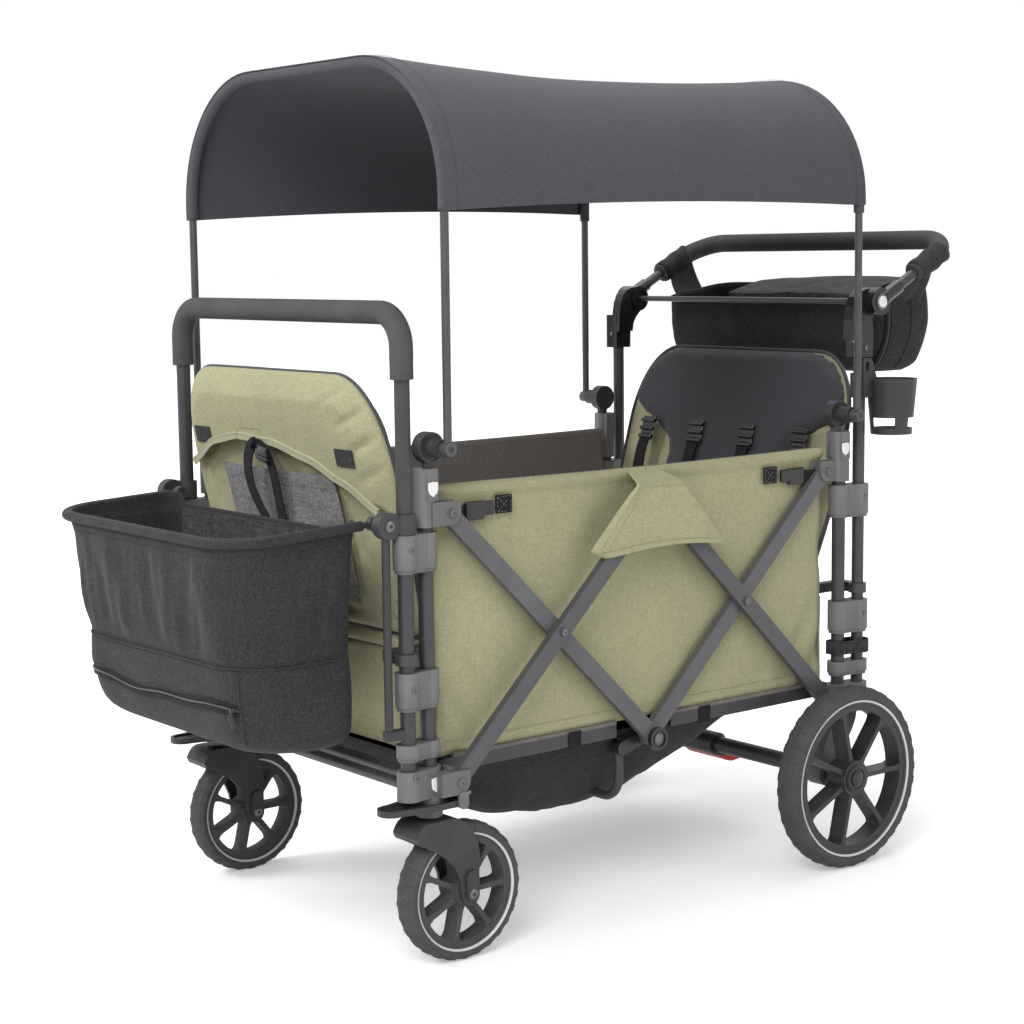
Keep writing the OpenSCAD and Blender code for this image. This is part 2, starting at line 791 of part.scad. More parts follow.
// The tyre, a rounded ring
module tyre_body(d, w, bore) {
  rotate([0, 90, 0]) rotate_extrude($fn = fine_fn) polygon([
    [bore, -w * 0.38], [d / 2 - w * 0.36, -w * 0.47], [d / 2 - w * 0.2, -w * 0.5],
    [d / 2 - w * 0.06, -w * 0.36], [d / 2, -w * 0.16], [d / 2, w * 0.16],
    [d / 2 - w * 0.06, w * 0.36], [d / 2 - w * 0.2, w * 0.5], [d / 2 - w * 0.36, w * 0.47], [bore, w * 0.38]
  ]);
}

module rear_wheel_solid() {
  wheel_body(rear_wheel_w, rear_rim, rear_rim - rim_t, rear_hub_d, rear_wheel_w - 6);
  bar_x(rear_cap_d, rear_wheel_w / 2 - 4, rear_wheel_w / 2 - 1);
}

module on_rear_axle() {
  translate([rear_wheel_x, rear_axle_y, rear_axle_z]) children();
}

module rear_wheel_left() color(plastic_colour) place() on_rear_axle() rear_wheel_solid();

module rear_wheel_right() color(plastic_colour) place() mirror([1, 0, 0]) on_rear_axle() rear_wheel_solid();

module rear_tyre_left() color(rubber) place() on_rear_axle()
  tyre_body(rear_wheel_d, rear_wheel_w, rear_rim + seat_gap);

module rear_tyre_right() color(rubber) place() mirror([1, 0, 0]) on_rear_axle()
  tyre_body(rear_wheel_d, rear_wheel_w, rear_rim + seat_gap);

// The caster wheel is moulded with its tyre in one piece
module caster_wheel() {
  rim = front_wheel_d / 2 - front_tyre_h;
  wheel_body(front_wheel_w, rim + 0.5, rim - front_rim_t, front_hub_d, front_wheel_w);
  tyre_body(front_wheel_d, front_wheel_w, rim);
}

// The outline of the yoke's side: a nose in front, a hollow front edge and a boss round the axle
module fork_2d() {
  s = stem_y;
  a = front_axle_y;
  z = front_axle_z;
  polygon(concat(
    curve([a - 14, z - 6], [a - 16, z + 56], [s - 6, fork_top - 46], [s - 40, fork_top - 28]),
    curve([s - 44, fork_top - 20], [s - 40, fork_top - 8], [s - 32, fork_top], [s - 22, fork_top]),
    curve([s + 22, fork_top], [s + 44, fork_top - 2], [a + 26, z + 82], [a + 16, z + 30]),
    [[a + 16, z - 6]]
  ));
  translate([a + 1, z - 2]) circle(d = 30.4, $fn = round_fn);
}

// The yoke: one moulding hollowed out round the wheel, with its stem and axle bolt
module caster_fork() {
  out = cheek_x + cheek_t;
  difference() {
    side_plate(-out, out) fork_2d();
    translate([0, front_axle_y, front_axle_z]) bar_x(front_wheel_d + 2 * well_gap, -cheek_x, cheek_x);
  }
  for (side = [-1, 1])
    side_plate(side > 0 ? out - 1 : -out - 4, side > 0 ? out + 4 : -out + 1)
      bar_2d([front_axle_y + 2, front_axle_z], [front_axle_y + 2, front_axle_z + 24], 22);
  translate([0, stem_y, fork_top - 8])
    cylinder(d = stem_d, h = bracket_low - 6 - fork_top + 8, $fn = round_fn);
  translate([0, front_axle_y, front_axle_z]) bar_x(axle_d, -cheek_x - 1, cheek_x + 1);
}

module caster_fork_left() color(plastic_colour) place() translate([post_x, 0, 0]) caster_fork();

module caster_fork_right() color(plastic_colour) place() translate([-post_x, 0, 0]) caster_fork();

module caster_wheel_left() color(rubber) place()
  translate([post_x, front_axle_y, front_axle_z]) caster_wheel();

module caster_wheel_right() color(rubber) place()
  translate([-post_x, front_axle_y, front_axle_z]) caster_wheel();

// The swivel lock pedal, round the stem boss, with a hollow for the toe
module lock_pedal() {
  nose = stem_y - pedal_nose;
  difference() {
    union() {
      translate([0, 0, pedal_z - pedal_t / 2]) linear_extrude(pedal_t) {
        polygon(concat(
          curve([-pedal_half, stem_y - 10], [-pedal_half, stem_y - 40],
            [-pedal_r, nose + 16], [-pedal_r, nose]),
          curve([pedal_r, nose], [pedal_r, nose + 16],
            [pedal_half, stem_y - 40], [pedal_half, stem_y - 10]),
          [[pedal_half, pedal_y], [-pedal_half, pedal_y]]
        ));
        translate([0, nose]) circle(r = pedal_r, $fn = round_fn);
      }
      translate([0, pedal_y, pedal_z]) bar_x(15, -pedal_half, pedal_half);
    }
    translate([0, stem_y, 0]) cylinder(d = boss_d + 8, h = 2 * pedal_z, $fn = round_fn);
    translate([0, pedal_y, pedal_z]) bar_x(pedal_pin_d + 2 * run_gap, -2 * pedal_half, 2 * pedal_half);
    translate([0, 0, pedal_z + pedal_t / 2 - 3]) linear_extrude(4) {
      translate([0, nose]) circle(r = pedal_r - 5, $fn = round_fn);
      translate([-pedal_r + 5.5, nose]) square([2 * pedal_r - 11, pedal_nose - boss_d / 2 - 12]);
    }
  }
}

module lock_pedal_left() color(plastic_colour) place() translate([post_x, 0, 0]) lock_pedal();

module lock_pedal_right() color(plastic_colour) place() translate([-post_x, 0, 0]) lock_pedal();

// Front end

module front_handle_tube() color(tube_colour) place() translate([0, -handle_y, 0])
  u_tube(handle_x, bracket_low + bracket_base, front_handle_z, front_bend_r, tube_d, tube_d - 2 * tube_wall);

module front_handle_grip() color(rubber) place() translate([0, -handle_y, 0])
  u_tube(handle_x, front_handle_z - foam_leg, front_handle_z, front_bend_r, foam_d, tube_d + 2 * seat_gap);

module front_sleeves() color(plastic_colour) place() sleeve_set(-1, tube_d);

// The front corners carry the caster's stem boss and the ears of the lock pedal
module front_corner_brackets() color(plastic_colour) place() both_sides() {
  ear = pedal_half + 0.5;
  corner_bracket(-1, tube_d, plane3);
  difference() {
    translate([post_x, stem_y, boss_low])
      cylinder(d = boss_d, h = bracket_low - boss_low + 1, $fn = round_fn);
    translate([post_x, stem_y, boss_low - 1])
      cylinder(d = stem_d + 2 * run_gap, h = bracket_low - boss_low - 3, $fn = round_fn);
  }
  for (side = [-1, 1])
    translate([post_x + side * (ear + pedal_ear / 2), 0, 0]) side_plate(-pedal_ear / 2, pedal_ear / 2) {
      translate([pedal_y, pedal_z]) circle(r = 8, $fn = round_fn);
      translate([pedal_y - 8, pedal_z]) square([16, bracket_low - pedal_z + 1]);
    }
  translate([post_x - ear - pedal_ear, pedal_y - 8, bracket_low]) cube([2 * (ear + pedal_ear), 20, 4]);
  translate([0, pedal_y, pedal_z]) bar_x(pedal_pin_d, post_x - ear - 1, post_x + ear + 1);
}

module front_cross_bars() color(tube_colour) place() {
  cross_bar(handle_x, -handle_y);
  cross_bar(post_x, -post_y);
}

// Basket

// The clamp, hub and stay on each front handle tube
module basket_mounts() color(plastic_colour) place() both_sides() {
  half_t = basket_hub_t / 2;
  difference() {
    union() {
      translate([handle_x, -handle_y, basket_hub_z - 14])
        cylinder(d = tube_d + 2 * clamp_wall, h = 28, $fn = round_fn);
      translate([handle_x - half_t, -basket_hub_y, basket_hub_z - 9]) cube([basket_hub_t, 24, 18]);
      translate([0, -basket_hub_y, basket_hub_z])
        bar_x(2 * basket_hub_r, handle_x - half_t, handle_x + half_t);
    }
    translate([handle_x, -handle_y, 0])
      cylinder(d = tube_d + 2 * seat_gap, h = 2 * basket_hub_z, $fn = round_fn);
  }
  translate([handle_x, -basket_hub_y - 2, basket_stay_low])
    cylinder(d = basket_rod_d, h = basket_hub_z - basket_stay_low, $fn = round_fn);
  difference() {
    translate([handle_x - 7, -basket_hub_y - 8, basket_stay_low])
      cube([14, basket_hub_y - handle_y + 8, 14]);
    translate([handle_x, -handle_y, 0])
      cylinder(d = tube_d + 2 * seat_gap, h = basket_hub_z, $fn = round_fn);
  }
  translate([0, -basket_hub_y, basket_hub_z]) bar_x(bow_pin_d, basket_half_w + cloth_gap + 1, handle_x);
}

// The bow that holds the basket's rim open, with an eye on each hub pin
module basket_bow() color(tube_colour) place() {
  half = basket_half_w + cloth_gap + basket_bow_d / 2;
  run = (basket_front - basket_hub_y - basket_bow_d / 2) / cos(basket_droop);
  bend = basket_corner_r + cloth_gap + basket_bow_d / 2;
  difference() {
    union() {
      translate([0, -basket_hub_y, basket_hub_z]) rotate([90 + basket_droop, 0, 0])
        u_tube(half, 8, run, bend, basket_bow_d, basket_bow_d - 4);
      both_sides() translate([0, -basket_hub_y, basket_hub_z])
        bar_x(bow_eye_d, half - basket_bow_d / 2 - 1, half + basket_bow_d / 2 + 1);
    }
    translate([0, -basket_hub_y, basket_hub_z]) bar_x(bow_pin_d + 2 * run_gap, -2 * half, 2 * half);
  }
}

// The sewn basket: a slumped open bag whose pocket band bulges below a seam
function basket_bulge(t) = t < 0.36 ? 7 * sin(180 * t / 0.36) : 0;

function basket_ring(t, inset) =
  let (
    droop = t ^ 2 * tan(basket_droop),
    half = basket_half_w - basket_low_in * (1 - t) - inset - 7 * sin(180 * t) + basket_bulge(t),
    lip = basket_front - basket_bow_d - cloth_gap,
    front = lip - basket_low_back * (1 - t) ^ 1.4 + 6 * sin(180 * t) + basket_bulge(t) - inset,
    back = basket_back + inset,
    z = basket_floor_z + basket_h * t
  )
  [for (p = rounded_ring(-half, half, -front, -back, z, basket_corner_r - inset))
    [p[0], p[1], p[2] + droop * (p[1] + basket_hub_y)]];

module front_basket() color(black_cloth) place() {
  levels = [0, 0.07, 0.18, 0.29, 0.36, 0.55, 0.78, 1];
  floor_t = wall / basket_h;
  ring_loft(concat(
    [for (t = levels) basket_ring(t, 0)],
    [for (k = [len(levels) - 1 : -1 : 0]) basket_ring(max(levels[k], floor_t), wall)]
  ));
}

// Tub and seats

// One side wall with a rolled rim
module tub_side() {
  translate([tub_x - wall, -tub_y, tub_low]) cube([wall, 2 * tub_y, rim_z - rim_d / 2 - tub_low]);
  translate([rim_x, -tub_y + rim_end, rim_z - rim_d / 2]) rotate([-90, 0, 0])
    cylinder(d = rim_d, h = 2 * (tub_y - rim_end), $fn = round_fn);
}

module tub() color(green) place() {
  both_sides() tub_side();
  translate([-tub_x, -tub_y, tub_low]) cube([2 * tub_x, 2 * tub_y, wall]);
  for (y = [-tub_y, tub_y - wall])
    translate([-tub_x, y, tub_low]) cube([2 * tub_x, wall, end_wall_h]);
}

// The cloth flap over the upper middle pivot on each side
module hinge_flaps() color(green) place() both_sides() {
  face = plane3 + arm_t / 2 + pass_gap + rivet_t + flap_clear;
  top = rim_z - rim_d / 2 + 1;
  low = top - flap_h;
  side_plate(face, face + flap_t) polygon(concat(
    curve([-flap_half, top], [-flap_half - 30, top - 40],
      [-flap_tail, low + 40], [-flap_tail - 13, low + 14]),
    curve([-flap_tail + 11, low], [-flap_tail / 2, low + 12],
      [flap_tail / 2, low + 10], [flap_tail + 11, low]),
    curve([flap_tail - 10, low + 30], [flap_half + 40, low + 70],
      [flap_half + 20, top - 30], [flap_half, top])
  ));
  translate([rim_x + rim_d / 2 + cloth_gap, -flap_half, top - flap_t])
    cube([face + flap_t - rim_x - rim_d / 2 - cloth_gap, 2 * flap_half, flap_t]);
}

// The storage sling under the floor
function sling_point(u, v, off) =
  let (deep = sling_deep * sin(180 * v) ^ 0.45 * (1 - 0.3 * v))
  [sling_half * u, sling_length * v - sling_front, rail_z - 4 - deep * (1 - abs(u) ^ 4) + off];

module under_sling() color(black_cloth) place() {
  across = [for (k = [-8 : 8]) k / 8];
  along = [for (k = [0 : 12]) k / 12];
  slab([for (u = across) [for (v = along) sling_point(u, v, 0)]],
    [for (u = across) [for (v = along) sling_point(u, v, -sling_t)]]);
}

// A padded seat back: crowned in front, with drawn-in sides and rounded shoulders
function seat_half(v) =
  v < 0.45 ? seat_half_w * (0.93 + 0.07 * sin(200 * v)) :
  v < 0.62 ? seat_half_w :
  seat_half_w * (1 - 0.36 * ((v - 0.62) / 0.38) ^ 2.2);

function seat_point(u, v, face) =
  let (
    edge = (1 - abs(u) ^ 5) * (1 - abs(2 * v - 1) ^ 9),
    channel = 5 * exp(-((abs(u) - 0.46) / 0.05) ^ 2) * (v < 0.85 ? 1 : 0),
    front = 8 + (seat_t / 2 - 8) * edge ^ 0.5 - channel * edge,
    back = -seat_t / 2 + 12 * (1 - edge ^ 0.5)
  )
  [seat_half(v) * u, face > 0 ? front : back, seat_foot + (seat_h - seat_foot) * v];

module seat_pad() {
  across = [for (k = [-10 : 10]) sin(9 * k)];
  up = [for (k = [0 : 12]) (1 - cos(15 * k)) / 2];
  slab([for (u = across) [for (v = up) seat_point(u, v, 1)]],
    [for (u = across) [for (v = up) seat_point(u, v, -1)]]);
}

// A seat back stands on a turning eye bar at its foot
module seat_back(y_sign, lean) {
  eye = seat_half_w - seat_eye_in;
  translate([0, y_sign * seat_hinge_y, seat_hinge_z]) rotate(y_sign > 0 ? 180 : 0)
    rotate([lean, 0, 0]) {
      seat_pad();
      difference() {
        union() {
          bar_x(seat_eye_d, -eye, eye);
          translate([-eye + 36, -5, 6]) cube([2 * eye - 72, 10, seat_foot]);
        }
        bar_x(seat_pin_d + 2 * run_gap, -2 * eye, 2 * eye);
      }
    }
}

module front_seat_back() color(green) place() seat_back(-1, front_lean);

module rear_seat_back() color(dark_cloth) place() seat_back(1, rear_lean);

// The rods that the seat backs turn on, clamped to the handle tubes
module seat_rod(y_sign, tube) {
  inner = seat_half_w - rod_in;
  low = seat_hinge_z - rod_arm / 2;
  start = y_sign > 0 ? seat_hinge_y : -handle_y;
  reach = inner + rod_arm / 2 + 2;
  translate([0, y_sign * seat_hinge_y, seat_hinge_z]) bar_x(seat_pin_d, -reach, reach);
  both_sides() difference() {
    union() {
      translate([inner, start - rod_arm / 2, low])
        cube([rod_arm, handle_y - seat_hinge_y + rod_arm, rod_arm]);
      translate([inner, y_sign * handle_y - rod_arm / 2, low]) cube([handle_x - inner, rod_arm, rod_arm]);
      translate([handle_x, y_sign * handle_y, low])
        cylinder(d = tube + 2 * clamp_wall, h = rod_arm, $fn = round_fn);
    }
    translate([handle_x, y_sign * handle_y, 0])
      cylinder(d = tube + 2 * seat_gap, h = 2 * low, $fn = round_fn);
  }
}

module front_seat_rod() color(tube_colour) place() seat_rod(-1, tube_d);

module rear_seat_rod() color(tube_colour) place() seat_rod(1, upright_d);

// Canopy

// One bow: rods that stand on the hub pins and an arched top
module bow(y_sign) {
  translate([0, y_sign * bow_y, 0]) difference() {
    union() {
      u_tube(bow_x, bow_hub_z, bow_top_z, bow_r, bow_d, bow_d - 4);
      both_sides() translate([0, 0, bow_hub_z])
        bar_x(bow_eye_d, bow_x - bow_eye_t / 2, bow_x + bow_eye_t / 2);
    }
    translate([0, 0, bow_hub_z]) bar_x(bow_pin_d + 2 * run_gap, -2 * bow_x, 2 * bow_x);
  }
}

module front_bow() color(tube_colour) place() bow(-1);

module rear_bow() color(tube_colour) place() bow(1);

// The bow's line from the near hem over the top: x, z and the outward normal
arch_x = bow_x - bow_r;
arch_z = bow_top_z - bow_r;
arch = concat(
  [for (t = [0, 0.5]) [bow_x, hem_z + t * (arch_z - hem_z), 1, 0]],
  [for (a = [0 : 9 : 90]) [arch_x + bow_r * cos(a), arch_z + bow_r * sin(a), cos(a), sin(a)]],
  [[0, bow_top_z, 0, 1]]
);

function cloth_point(k, side, y, off) =
  let (
    p = arch[k],
    slack = max(0, 1 - (y / (bow_y - bow_d)) ^ 2),
    out = bow_d / 2 + cloth_lift + off,
    hem = k == 0 ? 10 * slack : 0
  )
  [
    side * (p[0] + (out - canopy_sag * 0.8 * slack) * p[2]),
    y,
    p[1] + (out - canopy_sag * slack) * p[3] + hem
  ];

function cloth_row(y, off) = concat(
  [for (k = [0 : len(arch) - 1]) cloth_point(k, 1, y, off)],
  [for (k = [len(arch) - 2 : -1 : 0]) cloth_point(k, -1, y, off)]
);

module canopy_half(y_sign) {
  inner = bow_y - bow_d;
  out = [for (k = [0 : 8]) seat_gap + (inner - seat_gap) * k / 8];
  rows = y_sign > 0 ? concat(out, [bow_y + 8]) : concat([-bow_y - 8], [for (k = [8 : -1 : 0]) -out[k]]);
  slab([for (y = rows) cloth_row(y, canopy_t)], [for (y = rows) cloth_row(y, 0)]);
}

module canopy_front_cloth() color(dark_cloth) place() canopy_half(-1);

module canopy_rear_cloth() color(dark_cloth) place() canopy_half(1);

// Push handle

// The fixed half of each pivot, a rounded elbow on top of the upright
module handle_housings() color(plastic_colour) place() both_sides() {
  foot = hub_z - 60;
  difference() {
    union() {
      side_plate(housing_x0, housing_x1) {
        translate([hub_y, hub_z]) circle(r = hub_r, $fn = round_fn);
        polygon(concat(
          curve([handle_y - housing_w, foot], [handle_y - housing_w, hub_z + 12],
            [handle_y - 4, hub_z + hub_r - 1], [hub_y, hub_z + hub_r - 1]),
          curve([hub_y + hub_r - 4, hub_z], [hub_y + 14, hub_z - 24],
            [handle_y + housing_w, hub_z - 26], [handle_y + housing_w, foot])
        ));
      }
      side_plate(housing_x0 - housing_ring, housing_x0 + 1) difference() {
        translate([hub_y, hub_z]) circle(r = hub_r - 3, $fn = round_fn);
        translate([hub_y, hub_z]) circle(r = hub_r - 8, $fn = round_fn);
      }
      side_plate(handle_x - housing_leg, handle_x + housing_leg)
        polygon([[handle_y - housing_w, foot - 30], [handle_y + housing_w, foot - 30],
          [handle_y + housing_w + 1, foot + 10], [handle_y + housing_w - 2, foot + 30],
          [handle_y - housing_w, foot + 30]]);
    }
    translate([handle_x, handle_y, 0])
      cylinder(d = upright_d + 2 * seat_gap, h = hub_z - 33, $fn = round_fn);
    translate([0, hub_y, hub_z]) bar_x(stretcher_d + 2 * seat_gap, 0, housing_x0 + 9);
  }
  translate([0, hub_y, hub_z]) bar_x(hub_pin_d, housing_x1 - 1, housing_x1 + pass_gap + 6);
}

module handle_stretcher() color(tube_colour) place()
  translate([0, hub_y, hub_z]) bar_x(stretcher_d, -housing_x0 - 8, housing_x0 + 8);

// Everything on the push handle is drawn level, then raised by its angle
module on_handle() {
  translate([0, hub_y, hub_z]) rotate([push_angle, 0, 0]) children();
}

module push_handle_knuckles() color(plastic_colour) place() on_handle() both_sides() difference() {
  near = housing_x1 + pass_gap;
  union() {
    bar_x(2 * hub_r, near, near + knuckle_t);
    translate([arm_x, 0, 0]) rotate([-90, 0, 0]) cylinder(d = knuckle_d, h = knuckle_reach, $fn = round_fn);
  }
  bar_x(hub_pin_d + 2 * run_gap, 0, near + 8);
  translate([arm_x, tube_seat - 1, 0]) rotate([-90, 0, 0])
    cylinder(d = push_tube_d + 2 * seat_gap, h = knuckle_reach, $fn = round_fn);
  bar_x(button_d + 2 * pass_gap, near + knuckle_t - button_h, 2 * near);
}

module push_handle_tube() color(tube_colour) place() on_handle() rotate([-90, 0, 0])
  u_tube(arm_x, tube_seat, push_length, push_bend_r, push_tube_d, push_tube_d - 2 * tube_wall);

module push_handle_grip() color(rubber) place() on_handle() rotate([-90, 0, 0])
  u_tube(arm_x, foam_start, push_length, push_bend_r, foam_d, push_tube_d + 2 * seat_gap);

module handle_button() {
  face = housing_x1 + pass_gap + knuckle_t;
  bar_x(button_d, face - button_h + 4, face + button_out);
}

module button_left() color(white) place() on_handle() handle_button();

module button_right() color(white) place() on_handle() mirror([1, 0, 0]) handle_button();

// The parent console: a sewn bag under the push handle
function console_ring(t, inset) =
  let (
    front = console_front + 4 * sin(180 * t) - 12 * t + inset,
    back = console_front + console_deep + 20 * t + 8 * sin(180 * t) - inset,
    half = console_half + 14 * t + 6 * sin(180 * t) - inset
  )
  rounded_ring(-half, half, front, back, console_low + console_h * t, console_r - inset);

// A strap loop round the foam and the strap down from it to the bag's side
module console_bag() color(black_cloth) place() {
  levels = [0, 0.15, 0.4, 0.7, 1];
  loop_d = foam_d + 2 * cloth_gap;
  rise = (strap_run + strap_w / 2) * sin(push_angle);
  back = hub_y + strap_run * cos(push_angle);
  top = [arm_x - loop_d / 2 - strap_t / 2, hub_z + rise];
  foot = [console_half + 9, console_low + console_h - 14];
  ring_loft(concat(
    [for (t = levels) console_ring(t, 0)],
    [for (k = [len(levels) - 1 : -1 : 0]) console_ring(max(levels[k], 0.04), wall)]
  ));
  both_sides() {
    on_handle() translate([arm_x, strap_run, 0]) rotate([-90, 0, 0]) difference() {
      cylinder(d = loop_d + 2 * strap_t, h = strap_w, $fn = round_fn);
      translate([0, 0, -1]) cylinder(d = loop_d, h = strap_w + 2, $fn = round_fn);
    }
    difference() {
      translate([0, back + strap_w - 6, 0]) rotate([90, 0, 0])
        linear_extrude(strap_w - 8) bar_2d(foot, top, strap_t + 1);
      on_handle() translate([arm_x, 0, 0]) rotate([-90, 0, 0])
        cylinder(d = loop_d, h = push_length, $fn = round_fn);
    }
  }
}

// Cup holder and brake

// A tapered cup on three legs with a base ring, hung from the left upright by a plate
module cup_holder() color(plastic_colour) place() {
  axis = [handle_x + cup_out, handle_y + cup_back];
  low_r = cup_r - cup_taper;
  low_z = cup_rim_z - cup_h;
  plate_x = handle_x + upright_d / 2 + 1;
  difference() {
    union() {
      difference() {
        translate([axis[0], axis[1], low_z]) cylinder(r1 = low_r, r2 = cup_r, h = cup_h, $fn = fine_fn);
        for (k = [0 : cup_legs - 1])
          translate([axis[0], axis[1], low_z + cup_ring]) rotate(k * 360 / cup_legs)
            rotate_extrude(angle = 360 / cup_legs - cup_leg_turn, $fn = fine_fn)
              square([2 * cup_r, cup_floor - cup_ring - cup_base_t]);
      }
      translate([handle_x, handle_y, cup_rim_z - 30])
        cylinder(d = upright_d + 2 * clamp_wall, h = 40, $fn = round_fn);
      difference() {
        side_plate(plate_x, plate_x + 6) polygon(concat(
          [[handle_y - 8, cup_rim_z + 35], [handle_y + 10, cup_rim_z + 35]],
          curve([handle_y + 15, cup_rim_z + 28], [handle_y + 20, cup_rim_z + 14],
            [handle_y + 23, cup_rim_z + 2], [handle_y + 28, cup_rim_z - 4]),
          [[handle_y + 28, cup_rim_z - 30], [handle_y - 8, cup_rim_z - 30]]
        ));
        side_plate(plate_x - 1, plate_x + 7)
          bar_2d([handle_y + 1, cup_rim_z + 18], [handle_y + 1, cup_rim_z + 25], 9);
      }
    }
    translate([handle_x, handle_y, 0])
      cylinder(d = upright_d + 2 * seat_gap, h = 2 * hub_z, $fn = round_fn);
    translate([axis[0], axis[1], low_z + cup_floor])
      cylinder(r1 = low_r + cup_taper * cup_floor / cup_h - cup_wall, r2 = cup_r - cup_wall + 0.1,
        h = cup_h - cup_floor + 1, $fn = fine_fn);
    translate([axis[0], axis[1], low_z - 1])
      cylinder(r1 = low_r - cup_wall - 2, r2 = low_r - cup_wall, h = cup_floor - 3, $fn = fine_fn);
  }
}

// The brake bar: a shell that turns on the axle beam, with a foot plate behind it
module brake_pedal() color(red) place() translate([0, rear_axle_y, rear_axle_z]) difference() {
  union() {
    bar_x(axle_beam_d + 2 * brake_shell, -brake_half, brake_half);
    side_plate(-brake_half, brake_half) polygon(concat(
      curve([14, -12], [24, -22], [34, -26], [56, -24]),
      curve([68, -26], [70, -30], [68, -34], [56, -34]),
      curve([34, -36], [18, -34], [6, -26], [2, -18])
    ));
  }
  bar_x(axle_beam_d + 2 * pass_gap, -2 * brake_half, 2 * brake_half);
}

rear_uprights();
rear_sleeves();
rear_corner_brackets();
rear_axle_beam();
rear_cross_bar();
handle_housings();
handle_stretcher();
cup_holder();
tub();
hinge_flaps();
under_sling();
rear_seat_rod();
brake_pedal();
rear_wheel_left();
rear_tyre_left();
rear_wheel_right();
rear_tyre_right();
push_handle_tube();
push_handle_grip();
push_handle_knuckles();
console_bag();
button_left();
button_right();
rear_posts();
rear_post_brackets();
rear_bow_hubs();
canopy_rear_cloth();
rear_bow();
rear_arms_low();
rear_arms_high();
front_arms_low();
front_arms_high();
centre_hubs();
centre_foot_bar();
rear_floor_rails();
rear_floor_board();
front_floor_rails();
front_floor_board();
front_handle_tube();
front_handle_grip();
front_sleeves();
front_corner_brackets();
front_cross_bars();
basket_mounts();
basket_bow();
front_basket();
front_seat_rod();
front_seat_back();
rear_seat_back();
front_posts();
front_post_brackets();
front_bow_hubs();
canopy_front_cloth();
front_bow();
caster_fork_left();
caster_wheel_left();
caster_fork_right();
caster_wheel_right();
lock_pedal_left();
lock_pedal_right();
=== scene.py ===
"""Looks of the stroller wagon: materials, sewn pieces, small hardware, light and camera."""
import math

import bmesh
import bpy
from mathutils import Matrix, Vector, noise


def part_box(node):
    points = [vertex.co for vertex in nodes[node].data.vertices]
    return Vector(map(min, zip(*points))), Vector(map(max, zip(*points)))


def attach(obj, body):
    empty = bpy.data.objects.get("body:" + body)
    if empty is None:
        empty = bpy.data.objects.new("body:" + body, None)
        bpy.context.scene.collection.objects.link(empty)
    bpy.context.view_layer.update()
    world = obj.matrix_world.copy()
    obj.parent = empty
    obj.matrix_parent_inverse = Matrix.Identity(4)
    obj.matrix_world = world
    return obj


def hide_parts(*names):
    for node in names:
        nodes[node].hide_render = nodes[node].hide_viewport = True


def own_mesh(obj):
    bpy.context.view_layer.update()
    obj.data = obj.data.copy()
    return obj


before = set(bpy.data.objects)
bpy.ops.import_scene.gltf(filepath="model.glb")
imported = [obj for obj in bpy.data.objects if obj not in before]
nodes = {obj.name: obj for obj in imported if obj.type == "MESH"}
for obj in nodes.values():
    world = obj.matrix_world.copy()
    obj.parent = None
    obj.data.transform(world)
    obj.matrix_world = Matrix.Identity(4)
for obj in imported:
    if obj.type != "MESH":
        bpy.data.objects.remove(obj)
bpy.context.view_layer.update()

# Places are written in millimetres from the middle of the wagon, as in the part's source
MM = 0.001
low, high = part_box("tub")
MID_Y = (low.y + high.y) / 2
SIDES = (1, -1)


def at(x, y, z):
    return Vector((x * MM, y * MM + MID_Y, z * MM))


def wave(point, size, seed=0.0):
    """A smooth, repeatable ripple between -1 and 1 with features of that size in mm."""
    x, y, z = (c / size for c in point)
    return noise.noise(Vector((x + seed, y - seed, z + 0.37 * seed)))


def smooth_step(value):
    value = max(0.0, min(1.0, value))
    return value * value * (3 - 2 * value)


# Mesh helpers

def mesh_object(name, points, faces, material, smooth=True):
    mesh = bpy.data.meshes.new(name)
    mesh.from_pydata([tuple(p) for p in points], [], faces)
    work = bmesh.new()
    work.from_mesh(mesh)
    bmesh.ops.recalc_face_normals(work, faces=work.faces)
    work.to_mesh(mesh)
    work.free()
    mesh.polygons.foreach_set("use_smooth", [smooth] * len(mesh.polygons))
    mesh.materials.append(material)
    made = bpy.data.objects.new(name, mesh)
    bpy.context.scene.collection.objects.link(made)
    return made


def quads(rows, columns, wrap=True, closed=False, start=0):
    """Faces between neighbouring rows of points; closed joins the last row to the first."""
    faces = []
    for i in range(rows if closed else rows - 1):
        near = start + i * columns
        far = start + (i + 1) % rows * columns
        for j in range(columns if wrap else columns - 1):
            k = (j + 1) % columns
            faces.append((near + j, near + k, far + k, far + j))
    return faces


def ends(rows, columns, start=0):
    """Faces that close the first and the last row of points."""
    last = start + (rows - 1) * columns
    return [tuple(range(start, start + columns)), tuple(range(last, last + columns))]


def grid(name, rows, material):
    """A surface through rows of points in mm."""
    points = [at(*p) for row in rows for p in row]
    return mesh_object(name, points, quads(len(rows), len(rows[0]), wrap=False), material)


def modify(made, kind, **values):
    modifier = made.modifiers.new(kind.lower(), kind)
    for key, value in values.items():
        setattr(modifier, key, value)
    return made


def settle(made):
    """Replaces the mesh by what its modifiers make of it."""
    view = bpy.context.evaluated_depsgraph_get()
    mesh = bpy.data.meshes.new_from_object(made.evaluated_get(view))
    made.modifiers.clear()
    made.data = mesh
    return made


def thicken(made, thickness, offset=-1.0):
    modify(made, "SOLIDIFY", thickness=thickness * MM, offset=offset)
    settle(made)
    made.data.set_sharp_from_angle(angle=math.radians(55))
    return made


